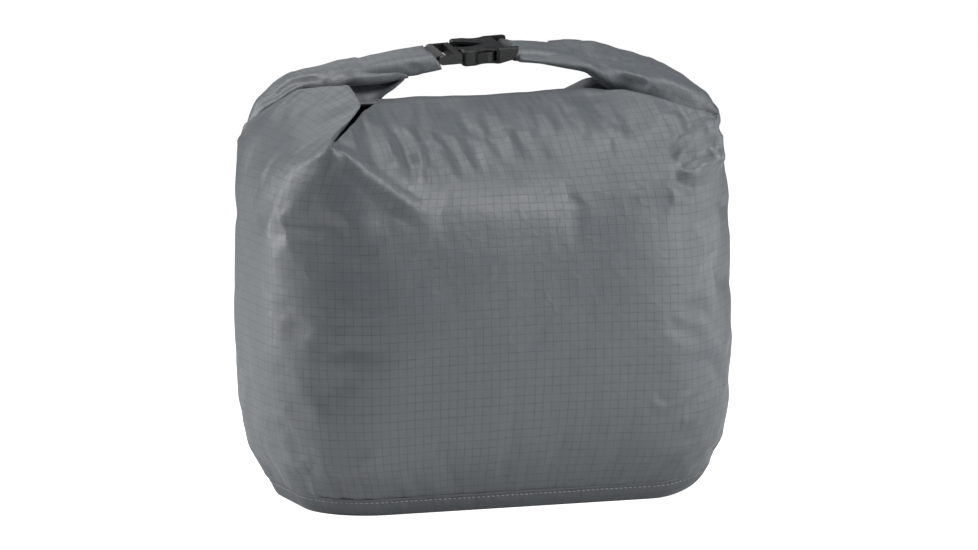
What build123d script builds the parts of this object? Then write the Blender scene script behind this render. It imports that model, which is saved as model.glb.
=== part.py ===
"""Roll-top sack in coated ripstop, closed by a side-release buckle over its top.

Millimetres, +Z up. The origin is the centre of the base, on the ground.
X runs along the long side, +X is the right, and -Y is the front.
The mouth is rolled up and lies flat on the top. Its two rolled ends turn up and over the top,
and the buckle joins them as a carrying loop.
"""

import math
import os

from build123d import *

os.makedirs("parts", exist_ok=True)

# ---------------------------------------------------------------- shared sizes
FABRIC = 0.9  # wall of the sack, with its seam allowances
GAP = 0.15  # clearance between layers of cloth
THREAD = 0.5  # sewing thread
OVERCUT = 0.001  # how far a cut runs past the face it opens

# The sack's outline by height: (z, half length, half depth, corner radius)
SECTIONS = [
    (1.2, 120.5, 60.0, 38.0),
    (10.0, 124.0, 64.0, 41.0),
    (30.0, 131.5, 73.0, 45.0),
    (70.0, 136.0, 78.0, 48.0),
    (130.0, 137.0, 79.0, 48.0),
    (175.0, 135.0, 78.0, 38.0),
    (200.0, 129.0, 71.5, 18.0),
    (214.0, 122.5, 61.0, 9.0),
    (223.4, 97.0, 27.0, 8.0),
    (224.8, 90.0, 22.0, 6.0),
]
BASE_Z = SECTIONS[0][0]  # bottom edge of the sack
TOP_Z = SECTIONS[-1][0]


def outline(z):
    """The sack's half length, half depth and corner radius at height z."""
    for low, high in zip(SECTIONS, SECTIONS[1:]):
        if z <= high[0]:
            share = (z - low[0]) / (high[0] - low[0])
            return tuple(low[i] + share * (high[i] - low[i]) for i in (1, 2, 3))


def in_section(z, inset):
    """Length, depth and radius of the sack's outline at z, taken in by inset."""
    half_length, half_depth, radius = outline(z)
    return 2 * (half_length - inset), 2 * (half_depth - inset), max(radius - inset, 1.0)


def finish(builder, name):
    """Label a piece and write its STEP file."""
    builder.part.label = name
    export_step(builder.part, f"parts/{name}.step")


# ---------------------------------------------------------------- sack body
# One tube of fabric, closed above by its own folded top and open below onto the base panel.
with BuildPart() as sack_body:
    for z, *_ in SECTIONS:
        with BuildSketch(Plane.XY.offset(z)):
            RectangleRounded(*in_section(z, 0.0))
    loft(ruled=True)
    inner_heights = [section[0] for section in SECTIONS[:-1]] + [TOP_Z - FABRIC]
    for n, z in enumerate(inner_heights):
        with BuildSketch(Plane.XY.offset(z if n else z - OVERCUT)):
            RectangleRounded(*in_section(z, FABRIC))
    loft(ruled=True, mode=Mode.SUBTRACT)
finish(sack_body, "sack_body")

# ---------------------------------------------------------------- base
RIM_TOP = 5.0  # top of the base panel's turned-up edge
RIM_T = 1.0
RIM_INSET = FABRIC + GAP
FLOOR_TOP = BASE_Z + FABRIC

BINDING_H = 10.0  # height of the bound edge round the base
BINDING_T = 1.2
BINDING_INSET = -(GAP + BINDING_T)  # negative: outside the sack
LIP_T = 1.0
LIP_INSET = 6.0  # inner edge of the lip
LIP_CUT_Z, LIP_CUT_H = -0.5, 3.0

STITCH_TOP = 8.4
BASE_TAPE_TOP = 16.0
BASE_TAPE_LIFT = 0.2  # above the floor of the base panel
TAPE_T = 0.3

# Floor with a turned-up edge.
with BuildPart() as base_panel:
    for z in (BASE_Z, RIM_TOP):
        with BuildSketch(Plane.XY.offset(z)):
            RectangleRounded(*in_section(z, RIM_INSET))
    loft(ruled=True)
    for z, outline_z in ((FLOOR_TOP, FLOOR_TOP), (RIM_TOP + OVERCUT, RIM_TOP)):
        with BuildSketch(Plane.XY.offset(z)):
            RectangleRounded(*in_section(outline_z, RIM_INSET + RIM_T))
    loft(ruled=True, mode=Mode.SUBTRACT)
finish(base_panel, "base_panel")

# Folded binding round the bottom edge: a wall outside the sack and a lip below the base panel.
with BuildPart() as base_binding:
    for z, outline_z in ((0.0, BASE_Z), (BINDING_H, BINDING_H)):
        with BuildSketch(Plane.XY.offset(z)):
            RectangleRounded(*in_section(outline_z, BINDING_INSET))
    loft(ruled=True)
    for z, outline_z in ((LIP_T, BASE_Z), (BINDING_H + OVERCUT, BINDING_H)):
        with BuildSketch(Plane.XY.offset(z)):
            RectangleRounded(*in_section(outline_z, -GAP))
    loft(ruled=True, mode=Mode.SUBTRACT)
    with BuildSketch(Plane.XY.offset(LIP_CUT_Z)):
        RectangleRounded(*in_section(BASE_Z, LIP_INSET))
    extrude(amount=LIP_CUT_H, mode=Mode.SUBTRACT)
finish(base_binding, "base_binding")

# One row of stitches round the outside of the binding.
with BuildPart() as base_seam_thread:
    with BuildSketch(Plane.XY.offset(STITCH_TOP - THREAD)):
        RectangleRounded(*in_section(STITCH_TOP, BINDING_INSET - GAP - THREAD))
        RectangleRounded(*in_section(STITCH_TOP, BINDING_INSET - GAP), mode=Mode.SUBTRACT)
    extrude(amount=THREAD)
finish(base_seam_thread, "base_seam_thread")

# Welded tape inside, over the seam between the base panel and the sack.
with BuildPart() as base_seam_tape:
    tape_inset = RIM_INSET + RIM_T + GAP
    tape_low = FLOOR_TOP + BASE_TAPE_LIFT
    with BuildSketch(Plane.XY.offset(tape_low)):
        RectangleRounded(*in_section(BASE_Z, tape_inset))
        RectangleRounded(*in_section(BASE_Z, tape_inset + TAPE_T), mode=Mode.SUBTRACT)
    extrude(amount=BASE_TAPE_TOP - tape_low)
finish(base_seam_tape, "base_seam_tape")

# ---------------------------------------------------------------- back seam
BACK_SEAM_T = 0.8
BACK_SEAM_TOP = 204.0


def back_strips(name, centres, width, offset, thickness, low, high):
    """Strips up the back, centred at the given x, offset outwards from the sack's outer face."""
    heights = [low] + [section[0] for section in SECTIONS if low < section[0] < high] + [high]
    near = [(outline(z)[1] + offset, z) for z in heights]
    far = [(y + thickness, z) for y, z in reversed(near)]
    with BuildPart() as strips:
        for x in centres:
            with BuildSketch(Plane.YZ.offset(x)):
                with BuildLine():
                    Polyline(*near, *far, close=True)
                make_face()
        extrude(amount=width / 2, both=True)
    finish(strips, name)


back_strips("back_seam", centres=(0.0,), width=12.0, offset=GAP,
            thickness=BACK_SEAM_T, low=10.6, high=BACK_SEAM_TOP)
# Tape inside the sack, behind the seam.
back_strips("back_seam_tape", centres=(0.0,), width=22.0, offset=-FABRIC - 0.9,
            thickness=TAPE_T, low=17.0, high=BACK_SEAM_TOP)
# Two rows of stitches down the felled seam.
back_strips("back_seam_thread", centres=(-4.0, 4.0), width=THREAD,
            offset=GAP + BACK_SEAM_T + GAP, thickness=0.4, low=11.0, high=203.5)

# ---------------------------------------------------------------- rolled mouth, on the top
ROLL_W = 24.0  # width of the flattened roll
ROLL_T = 6.0
ROLL_HALF = 83.0  # half length of the part that lies on the top
ROLL_HOLLOW_W, ROLL_HOLLOW_T = ROLL_W - 10.0, 2.0
ROLL_FALL = math.radians(7)  # the roll falls to the back, so its front edge is the crest
STIFF_T = 1.0  # all stiffeners
CENTER_STIFF_W = ROLL_W - 11.0
CENTER_STIFF_HALF = ROLL_HALF - 1

# Across the roll: x to the back, y through its thickness
ROLL_SECTION = Plane(
    origin=(0, 3.4, 229.0),
    x_dir=(0, math.cos(ROLL_FALL), -math.sin(ROLL_FALL)),
    z_dir=(1, 0, 0),
)

with BuildPart() as roll_center:
    with BuildSketch(ROLL_SECTION.offset(-ROLL_HALF)):
        SlotOverall(ROLL_W, ROLL_T)
        Rectangle(ROLL_HOLLOW_W, ROLL_HOLLOW_T, mode=Mode.SUBTRACT)
    extrude(amount=2 * ROLL_HALF)
finish(roll_center, "roll_center")

with BuildPart() as stiffener_center:
    with BuildSketch(ROLL_SECTION.offset(-CENTER_STIFF_HALF)):
        Rectangle(CENTER_STIFF_W, STIFF_T)
    extrude(amount=2 * CENTER_STIFF_HALF)
finish(stiffener_center, "stiffener_center")

# ---------------------------------------------------------------- bends at the shoulders
BEND_X = 110.0  # centre of the half ring
BEND_START = ROLL_HALF + 0.4  # inner end of the lower leg
BEND_LOW = 226.0
BEND_T = 5.6
BEND_FRONT, BEND_DEPTH = -8.6, 27.0
BEND_CUT_L, BEND_CUT_H = 100.0, 60.0  # takes away the inner half of the ring


def roll_bend(side, top):
    """The roll turning back on itself at a shoulder: a half ring with a lower leg."""
    middle = (BEND_LOW + top) / 2
    radius = (top - BEND_LOW) / 2
    with BuildPart() as bend:
        with BuildSketch(Plane(origin=(0, BEND_FRONT, 0), x_dir=(1, 0, 0), z_dir=(0, -1, 0))):
            with Locations((side * BEND_X, middle)):
                Circle(radius)
                Circle(radius - BEND_T, mode=Mode.SUBTRACT)
            with Locations((side * (BEND_X - BEND_CUT_L / 2), middle)):
                Rectangle(BEND_CUT_L, BEND_CUT_H, mode=Mode.SUBTRACT)
            with Locations((side * (BEND_START + BEND_X) / 2, BEND_LOW + BEND_T / 2)):
                Rectangle(BEND_X - BEND_START, BEND_T)
        extrude(amount=-BEND_DEPTH)
    return bend


finish(roll_bend(-1, top=244.2), "roll_bend_left")
finish(roll_bend(1, top=248.4), "roll_bend_right")

# ---------------------------------------------------------------- side flaps
FLAP_X, FLAP_Z = 121.0, 216.6  # outer edge
FLAP_RISE = math.radians(33)
FLAP_RUN = 37.0 / math.cos(FLAP_RISE)  # up the slope, from 37 mm on the level
FLAP_T = 1.6
# Share of the run, and y
FLAP_OUTLINE = [(0, -58.0), (0.88, -30.0), (1, -27.0), (1, -9.0), (0, -9.0)]


def side_flap(side):
    """The top of a side panel, folded in over the shoulder and mitred at the front corner."""
    plane = Plane(
        origin=(side * FLAP_X, 0, FLAP_Z),
        x_dir=(-side * math.cos(FLAP_RISE), 0, math.sin(FLAP_RISE)),
        z_dir=(side * math.sin(FLAP_RISE), 0, math.cos(FLAP_RISE)),
    )
    # The plane's y points to the back on the left and to the front on the right.
    points = [(FLAP_RUN * share, -side * y) for share, y in FLAP_OUTLINE]
    with BuildPart() as flap:
        with BuildSketch(plane):
            with BuildLine():
                Polyline(*points, close=True)
            make_face()
        extrude(amount=FLAP_T)
    return flap


finish(side_flap(-1), "side_flap_left")
finish(side_flap(1), "side_flap_right")

# ---------------------------------------------------------------- loop and buckle frames
LOOP_TILT = math.radians(3.0)  # the buckle rises to the right
LOOP_LEAN = math.radians(12.0)  # its top face leans to the front
BUCKLE_MID = 10.5  # from the mouth of the socket to the middle of the loop

# Loop frame, from the middle of the loop: x along the buckle, y to the back, z out of its top
LOOP = Plane(
    origin=(-1.0, 12.0, 256.2),
    x_dir=(math.cos(LOOP_TILT), 0, math.sin(LOOP_TILT)),
    z_dir=(
        -math.sin(LOOP_TILT) * math.cos(LOOP_LEAN),
        -math.sin(LOOP_LEAN),
        math.cos(LOOP_TILT) * math.cos(LOOP_LEAN),
    ),
)
LOOP_Z = Axis(LOOP.origin, LOOP.z_dir)

# Buckle frame: the same directions, from the mouth of the socket
BUCKLE = Plane(
    origin=LOOP.origin - LOOP.x_dir * BUCKLE_MID,
    x_dir=LOOP.x_dir,
    z_dir=LOOP.z_dir,
)


def side_view(frame):
    """The plane of a frame's x and z, facing the front."""
    return Plane(origin=frame.origin, x_dir=frame.x_dir, z_dir=-frame.y_dir)


LOOP_SIDE = side_view(LOOP)
BUCKLE_SIDE = side_view(BUCKLE)

# ---------------------------------------------------------------- rolled ends, the arms of the loop
ARM_T = 9.4
ARM_W_TIP, ARM_W_BASE = 26.0, 34.0
ARM_W_MID = ARM_W_TIP + 3.0
ARM_RADIUS = 4.2
ARM_TIP, ARM_BASE = 33.0, 108.0  # along the loop, from its middle
ARM_LIFT = -0.3  # of the arm's middle at its tip
POCKET_W, POCKET_T = 22.0, 4.0
ARM_STIFF_W = 20.0
ARM_STIFF_LIFT = 1.2  # above the arm's middle
ARM_STIFF_INSET = 1.0  # from either end of the arm

# Webbing and the buckle's bars, which sit along the buckle frame's x
WEB_W, WEB_T = 20.0, 1.1
EYE_R = 2.0  # inside of the fold round the bar
TAIL_L = 18.0  # inside the arm
TAIL_HALF_T = 1.2  # both tails together
TAIL_LIFT = -1.0
BAR_R = 1.8
PLUG_BAR_X = -12.0
SOCKET_BAR_X = 32.0

TACKS_AT = (4.0, 13.0)  # from the arm's tip
TACK_W, TACK_T, TACK_L = 18.0, 0.4, 1.8
TACK_CLEAR = 0.35  # from the arm's underside to the middle of a tack


def arm_plane(side, slope, along):
    """A plane across an arm, along millimetres out from its tip.

    x runs across the roll. y runs through its thickness: up on the right, down on the left.
    """
    out = LOOP.x_dir * side * math.cos(slope) - LOOP.z_dir * math.sin(slope)
    tip = LOOP.from_local_coords(Vector(side * ARM_TIP, 0, ARM_LIFT))
    return Plane(origin=tip + out * along, x_dir=LOOP.y_dir, z_dir=out)


def arm_length(slope):
    return (ARM_BASE - ARM_TIP) / math.cos(slope)


def rolled_arm(side, slope):
    """A rolled end that widens away from the buckle, with a pocket right through it."""
    length = arm_length(slope)
    stations = ((0.0, ARM_W_TIP), (length * 0.5, ARM_W_MID), (length, ARM_W_BASE))
    with BuildPart() as arm:
        for along, width in stations:
            with BuildSketch(arm_plane(side, slope, along)):
                RectangleRounded(width, ARM_T, ARM_RADIUS)
        loft(ruled=True)
        with BuildSketch(arm_plane(side, slope, -0.5)):
            Rectangle(POCKET_W, POCKET_T)
        extrude(amount=length + 1.0, mode=Mode.SUBTRACT)
    return arm


def stiffener(side, slope):
    """A flat strip in the upper part of the pocket."""
    with BuildPart() as strip:
        with BuildSketch(arm_plane(side, slope, ARM_STIFF_INSET)):
            with Locations((0, side * ARM_STIFF_LIFT)):
                Rectangle(ARM_STIFF_W, STIFF_T)
        extrude(amount=arm_length(slope) - 2 * ARM_STIFF_INSET)
    return strip


def webbing(side, slope, bar_x):
    """One piece folded round the buckle's bar, with both tails inside the rolled end."""

    def tail_point(along, lift):
        return (
            side * (ARM_TIP + along * math.cos(slope) + lift * math.sin(slope)),
            TAIL_LIFT - along * math.sin(slope) + lift * math.cos(slope),
        )

    eye_x, eye_z = bar_x + side * 0.3, EYE_R + WEB_T - 0.02
    gusset_x, gusset_z = bar_x + side * 0.2, EYE_R - 0.01
    with BuildPart() as web:
        with BuildSketch(LOOP_SIDE):
            with Locations((bar_x, 0)):
                Circle(EYE_R + WEB_T)
            with BuildLine():
                Polyline(
                    (eye_x, eye_z),
                    tail_point(0.0, TAIL_HALF_T),
                    tail_point(TAIL_L, TAIL_HALF_T),
                    tail_point(TAIL_L, -TAIL_HALF_T),
                    tail_point(0.0, -TAIL_HALF_T),
                    (eye_x, -eye_z),
                    close=True,
                )
            make_face()
            with Locations((bar_x, 0)):
                Circle(EYE_R, mode=Mode.SUBTRACT)
            # The opening narrows to a point where the two layers meet.
            with BuildLine():
                Polyline(
                    (gusset_x, gusset_z), (bar_x + side * 6.0, -0.55), (gusset_x, -gusset_z),
                    close=True,
                )
            make_face(mode=Mode.SUBTRACT)
        extrude(amount=WEB_W / 2, both=True)
    return web


def bartack(side, slope):
    """Two bar-tacks under a rolled end, which hold the webbing tails."""
    with BuildPart() as tacks:
        for along in TACKS_AT:
            with BuildSketch(arm_plane(side, slope, along)):
                with Locations((0, -side * (ARM_T / 2 + TACK_CLEAR))):
                    Rectangle(TACK_W, TACK_T)
            extrude(amount=TACK_L)
    return tacks


# Side, word, fall of the arm away from the buckle in degrees, webbing bar
for side, word, fall, bar in (
    (-1, "left", 8.5, PLUG_BAR_X),
    (1, "right", 13.5, SOCKET_BAR_X),
):
    slope = math.radians(fall)
    finish(rolled_arm(side, slope), f"roll_{word}")
    finish(stiffener(side, slope), f"stiffener_{word}")
    finish(webbing(side, slope, bar - BUCKLE_MID), f"webbing_{word}")
    finish(bartack(side, slope), f"bartack_{word}")

# ---------------------------------------------------------------- buckle socket
SOCKET_L, SOCKET_W, SOCKET_T = 34.6, 27.2, 9.2
CORNER_R, EDGE_R = 2.6, 1.1
WAIST_X, WAIST_Y, WAIST_R = 14.6, 21.4, 10.9
CAVITY_END, CAVITY_W, CAVITY_H = 22.0, 22.8, 6.2
MOUTH_OVERCUT = 0.1
WINDOW_X, WINDOW_L = 14.3, 13.0
SLOT_START, SLOT_END, SLOT_W = 25.5, 37.0, 21.4  # runs out past the tail
THROUGH = 20.0  # half width of the cuts across the buckle

with BuildPart() as buckle_socket:
    with BuildSketch(BUCKLE.offset(-SOCKET_T / 2)):
        with Locations((SOCKET_L / 2, 0)):
            Rectangle(SOCKET_L, SOCKET_W)
    extrude(amount=SOCKET_T)
    # The underside rises towards the webbing bar.
    with BuildSketch(BUCKLE_SIDE):
        with BuildLine():
            Polyline(
                (23.0, -SOCKET_T), (23.0, -SOCKET_T / 2), (36.0, -1.9), (36.0, -SOCKET_T),
                close=True,
            )
        make_face()
    extrude(amount=THROUGH, both=True, mode=Mode.SUBTRACT)
    fillet(buckle_socket.edges().filter_by(LOOP_Z), CORNER_R)
    # Round the edges of the top and underside, but not the crease between the two lower faces.
    decks = buckle_socket.faces().sort_by(LOOP_Z)
    flat, sloped = decks[0].edges(), decks[1].edges()
    rim = [edge for edge in flat + sloped if not (edge in flat and edge in sloped)]
    fillet(rim + list(decks[-1].edges()), EDGE_R)
    # Waist between the mouth and the tail.
    with BuildSketch(BUCKLE.offset(-SOCKET_T)):
        with Locations((WAIST_X, WAIST_Y), (WAIST_X, -WAIST_Y)):
            Circle(WAIST_R)
    extrude(amount=2 * SOCKET_T, mode=Mode.SUBTRACT)
    # Cavity for the plug, open at the mouth.
    with BuildSketch(BUCKLE.offset(-CAVITY_H / 2)):
        with Locations(((CAVITY_END - MOUTH_OVERCUT) / 2, 0)):
            Rectangle(CAVITY_END + MOUTH_OVERCUT, CAVITY_W)
    extrude(amount=CAVITY_H, mode=Mode.SUBTRACT)
    # Side windows, where the prong pads stand out to be pressed.
    with BuildSketch(BUCKLE_SIDE):
        with Locations((WINDOW_X, 0)):
            RectangleRounded(WINDOW_L, CAVITY_H, 0.5)
    extrude(amount=THROUGH, both=True, mode=Mode.SUBTRACT)
    # V-shaped throats in both decks.
    with BuildSketch(BUCKLE.offset(-SOCKET_T)):
        with BuildLine():
            Polyline((-1.0, 8.4), (14.5, 0.9), (15.4, 0), (14.5, -0.9), (-1.0, -8.4), close=True)
        make_face()
    extrude(amount=2 * SOCKET_T, mode=Mode.SUBTRACT)
    # Webbing slot and the round bar across it.
    with BuildSketch(BUCKLE.offset(-SOCKET_T)):
        with Locations(((SLOT_START + SLOT_END) / 2, 0)):
            Rectangle(SLOT_END - SLOT_START, SLOT_W)
    extrude(amount=2 * SOCKET_T, mode=Mode.SUBTRACT)
    with BuildSketch(BUCKLE_SIDE):
        with Locations((SOCKET_BAR_X, 0)):
            Circle(BAR_R)
    extrude(amount=11.2, both=True)
finish(buckle_socket, "buckle_socket")

# ---------------------------------------------------------------- buckle plug
PLUG_T = 5.4
RAIL_IN, RAIL_W = 10.6, 2.0  # inner face of a side rail, and its width
PLUG_FACE = -0.4  # x of the face towards the socket
BLOCK_L = 3.8
# Rear half of the centre guide, from root to tip: (x, y)
GUIDE = [(-0.6, 3.4), (2.4, 2.2), (13.6, 1.7), (14.9, 0.7)]

with BuildPart() as buckle_plug:
    # Side rails with round ends about the webbing bar.
    with BuildSketch(BUCKLE_SIDE.offset(RAIL_IN)):
        with Locations((PLUG_BAR_X, 0)):
            Circle(PLUG_T / 2)
        with Locations(((PLUG_BAR_X + PLUG_FACE) / 2, 0)):
            Rectangle(PLUG_FACE - PLUG_BAR_X, PLUG_T)
    extrude(amount=RAIL_W)
    mirror(about=Plane(origin=BUCKLE.origin, x_dir=BUCKLE.x_dir, z_dir=BUCKLE.y_dir))
    # Webbing bar.
    with BuildSketch(BUCKLE_SIDE):
        with Locations((PLUG_BAR_X, 0)):
            Circle(BAR_R)
    extrude(amount=11.0, both=True)
    # Cross block and the centre guide.
    with BuildSketch(BUCKLE.offset(-PLUG_T / 2)):
        with Locations((PLUG_FACE - BLOCK_L / 2, 0)):
            Rectangle(BLOCK_L, 2 * (RAIL_IN + RAIL_W))
        with BuildLine():
            Polyline(*GUIDE, *[(x, -y) for x, y in reversed(GUIDE)], close=True)
        make_face()
    extrude(amount=PLUG_T)
finish(buckle_plug, "buckle_plug")

# ---------------------------------------------------------------- prongs
ROOT_X, ROOT_Y, ROOT_R = 0.9, 8.0, 1.2
# Rounded end of the pad, from the leaf's inner edge to its outer edge: (x, y)
PAD_CURVE = [(17.2, 7.0), (20.4, 8.7), (19.0, 11.4), (13.6, 13.5), (9.4, 13.1)]
PAD_CATCH = [(8.2, 12.3), (8.2, 9.6)]  # the pad's end towards the bridge


def prong(side):
    """A springy leaf from its root, ending in a pad that catches behind the bridge."""
    root_in = (ROOT_X, side * (ROOT_Y - ROOT_R))
    root_out = (ROOT_X, side * (ROOT_Y + ROOT_R))
    curve = [(x, side * y) for x, y in PAD_CURVE]
    catch = [(x, side * y) for x, y in PAD_CATCH]
    with BuildPart() as leaf:
        with BuildSketch(BUCKLE.offset(-PLUG_T / 2)):
            with Locations((ROOT_X, side * ROOT_Y)):
                Circle(ROOT_R)
            with BuildLine():
                Line(root_in, curve[0])
                Spline(*curve, tangents=((1, 0.1 * side), (-1, -0.25 * side)))
                Polyline(curve[-1], *catch, root_out, root_in)
            make_face()
        extrude(amount=PLUG_T)
    return leaf


finish(prong(-1), "plug_prong_front")
finish(prong(1), "plug_prong_rear")
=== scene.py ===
# A roll-top sack of coated ripstop cloth. Its mouth is wound into a flat roll, and webbing at both
# ends of the roll holds a buckle over the top. The sack stands on the floor at z = 0 with its long
# sides along X. The front faces -Y and the right end is at +X.
# Pieces are worked out in millimetres; Blender and the stage are in metres.
import itertools
import math

import bpy
import numpy as np
from mathutils import Matrix, Vector
from mathutils.bvhtree import BVHTree


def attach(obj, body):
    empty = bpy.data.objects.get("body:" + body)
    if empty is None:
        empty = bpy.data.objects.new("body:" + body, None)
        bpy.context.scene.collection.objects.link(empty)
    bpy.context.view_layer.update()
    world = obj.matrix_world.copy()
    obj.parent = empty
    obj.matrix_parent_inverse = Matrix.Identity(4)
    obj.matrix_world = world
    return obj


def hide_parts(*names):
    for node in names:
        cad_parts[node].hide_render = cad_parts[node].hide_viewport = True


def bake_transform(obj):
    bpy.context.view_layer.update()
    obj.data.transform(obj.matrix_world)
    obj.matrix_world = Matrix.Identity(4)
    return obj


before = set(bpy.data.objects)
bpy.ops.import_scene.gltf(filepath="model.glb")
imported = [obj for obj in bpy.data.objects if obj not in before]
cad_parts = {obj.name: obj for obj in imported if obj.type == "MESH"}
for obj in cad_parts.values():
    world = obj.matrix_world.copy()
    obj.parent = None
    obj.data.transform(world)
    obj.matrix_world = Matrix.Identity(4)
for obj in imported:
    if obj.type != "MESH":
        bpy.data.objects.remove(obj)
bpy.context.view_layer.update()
scene = bpy.context.scene

MM = 0.001
SKIN = 0.35  # thickness of the cloth
LONG_HALF = 126.7  # cloth from the middle of a long side to a corner
SHORT_HALF = 68.7  # cloth from a corner to the middle of a short side
TUBE = 4 * (LONG_HALF + SHORT_HALF)  # round the tube of cloth that the sack is sewn from
STITCH_PITCH = 2.9


# ---------------------------------------------------------------- curves and noise
def unit(v):
    v = np.asarray(v, float)
    return v / np.maximum(np.linalg.norm(v, axis=-1, keepdims=True), 1e-12)


def smooth(x, low, high):
    """0 below low, 1 above high, and a smoothstep between."""
    t = np.clip((np.asarray(x, float) - low) / (high - low), 0, 1)
    return t * t * (3 - 2 * t)


def arc_length(points):
    """Running length down the rows of points, from 0."""
    step = np.linalg.norm(np.diff(points, axis=0), axis=-1)
    return np.concatenate([np.zeros_like(step[:1]), np.cumsum(step, axis=0)])


def sample(points, lengths, wanted):
    """Points of a polyline at the wanted lengths along it."""
    return np.stack([np.interp(wanted, lengths, column) for column in points.T], -1)


def hermite(points, slopes, knots, at):
    j = np.clip(np.searchsorted(knots, at, side="right") - 1, 0, len(points) - 2)
    h = (knots[j + 1] - knots[j])[:, None]
    t = ((at - knots[j])[:, None]) / h
    return (
        (2 * t**3 - 3 * t**2 + 1) * points[j]
        + (t**3 - 2 * t**2 + t) * h * slopes[j]
        + (-2 * t**3 + 3 * t**2) * points[j + 1]
        + (t**3 - t**2) * h * slopes[j + 1]
    )


def spline(points, count):
    """count points on a Catmull-Rom curve, whose knots are spaced by chord length to the 0.75."""
    p = np.asarray(points, float)
    chord = np.maximum(np.linalg.norm(np.diff(p, axis=0), axis=1), 1e-6) ** 0.75
    knots = np.concatenate([[0], np.cumsum(chord)])
    knots = knots / knots[-1]
    gap = np.diff(knots)[:, None]
    slope = np.diff(p, axis=0) / gap
    inner = (slope[:-1] * gap[1:] + slope[1:] * gap[:-1]) / (gap[:-1] + gap[1:])
    return hermite(p, np.concatenate([slope[:1], inner, slope[-1:]]), knots, np.linspace(0, 1, count))


def even(points, count):
    """count points at even arc length along the spline through points."""
    fine = spline(points, 400)
    lengths = arc_length(fine)
    return sample(fine, lengths, np.linspace(0, 1, count) * lengths[-1])


def row_at(rows, key, value):
    """A row interpolated in rows by the value in column key."""
    rows = np.asarray(rows, float)
    rows = rows[np.argsort(rows[:, key])]
    return np.array([np.interp(value, rows[:, key], column) for column in rows.T])


def noise3(points, scale, seed=0.0):
    """Smooth value noise at points, in -1..1."""
    cell = np.asarray(points, float) / scale + np.array([17.3, 5.1, 9.7]) * (1.0 + seed)
    low = np.floor(cell).astype(np.int64)
    part = cell - low
    part = part * part * (3 - 2 * part)

    def lattice(i, j, k):
        number = (i * 374761393 + j * 668265263 + k * 2147483647) & 0x7FFFFFFF
        number = ((number ^ (number >> 13)) * 1274126177) & 0x7FFFFFFF
        number = number ^ (number >> 16)
        return (number & 0xFFFF) / 32767.5 - 1.0

    total = 0.0
    for step in itertools.product((0, 1), repeat=3):
        weight = np.where(step, part, 1 - part).prod(axis=1)
        total = total + weight * lattice(*(low + step).T)
    return total


def noise_xyz(x, y, z, scale, seed):
    """noise3 at coordinates given one by one, as numbers or arrays."""
    return noise3(np.column_stack(np.broadcast_arrays(x, y, z)), scale, seed)


# ---------------------------------------------------------------- meshes
def shade_smooth(mesh):
    mesh.polygons.foreach_set("use_smooth", [True] * len(mesh.polygons))


def new_object(name, verts, faces, uvs, material):
    """A mesh in mm. uvs is None, or one (u, v) in mm for each corner of each face, in order."""
    mesh = bpy.data.meshes.new(name)
    faces = [tuple(int(i) for i in face) for face in faces]
    mesh.from_pydata((np.asarray(verts, float) * MM).tolist(), [], faces)
    if uvs is not None:
        layer = mesh.uv_layers.new(name="UVMap")
        layer.data.foreach_set("uv", np.asarray(uvs, float).astype(np.float32).ravel())
    mesh.validate(clean_customdata=False)
    mesh.update()
    shade_smooth(mesh)
    ob = bpy.data.objects.new(name, mesh)
    scene.collection.objects.link(ob)
    mesh.materials.append(material)
    return ob


class Sheet:
    """Collects grids of points, welding the points that coincide. Tags are kept by vertex."""

    def __init__(self):
        self.verts, self.index, self.faces, self.uvs, self.tags = [], {}, [], [], []

    def vertex(self, point, tag):
        key = tuple(np.round(point, 3))
        if key not in self.index:
            self.index[key] = len(self.verts)
            self.verts.append(point)
            self.tags.append(tag)
        i = self.index[key]
        self.tags[i] = max(self.tags[i], tag)
        return i

    def grid(self, points, uv, tags=None, flip=False):
        if tags is None:
            tags = np.zeros(points.shape[:2])
        ids = np.array([
            [self.vertex(point, tag) for point, tag in zip(*row)] for row in zip(points, tags)
        ])
        for r in range(len(points) - 1):
            for c in range(points.shape[1] - 1):
                corners = [(r, c), (r, c + 1), (r + 1, c + 1), (r + 1, c)]
                if flip:
                    corners.reverse()
                face = {}  # vertex: uv, each welded vertex once
                for corner in corners:
                    face.setdefault(ids[corner], uv[corner])
                if len(face) >= 3:
                    self.faces.append(list(face))
                    self.uvs.extend(face.values())

    def build(self, name, material):
        return new_object(name, self.verts, self.faces, self.uvs, material)


def sheet_object(name, points, uv, material, flip=False):
    sheet = Sheet()
    sheet.grid(points, uv, flip=flip)
    return sheet.build(name, material)


def ring_faces(rows, around, uv=None, flip=False):
    """Faces and corner UVs of rows of closed rings. uv has the first column again at its end."""
    faces, coords = [], []
    for r in range(rows - 1):
        for c in range(around):
            corners = [(r, c), (r, c + 1), (r + 1, c + 1), (r + 1, c)]
            if flip:
                corners = corners[:1] + corners[:0:-1]
            faces.append([a * around + b % around for a, b in corners])
            if uv is not None:
                coords += [uv[corner] for corner in corners]
    return faces, coords


def get_vectors(ob, field):
    values = np.empty(len(ob.data.vertices) * 3, np.float32)
    ob.data.vertices.foreach_get(field, values)
    return values.reshape(-1, 3).astype(float)


def get_co(ob):
    return get_vectors(ob, "co") / MM


def get_normals(ob):
    return get_vectors(ob, "normal")


def set_co(ob, co):
    ob.data.vertices.foreach_set("co", (co * MM).astype(np.float32).ravel())
    ob.data.update()


def tree_of(ob):
    faces = [tuple(p.vertices) for p in ob.data.polygons]
    return BVHTree.FromPolygons([Vector(c) for c in get_co(ob)], faces)


def apply_modifier(ob, kind, **settings):
    modifier = ob.modifiers.new(kind, kind)
    for name, value in settings.items():
        setattr(modifier, name, value)
    bpy.context.view_layer.objects.active = ob
    for other in bpy.context.selected_objects:
        other.select_set(False)
    ob.select_set(True)
    bpy.ops.object.modifier_apply(modifier=modifier.name)
    shade_smooth(ob.data)


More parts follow.
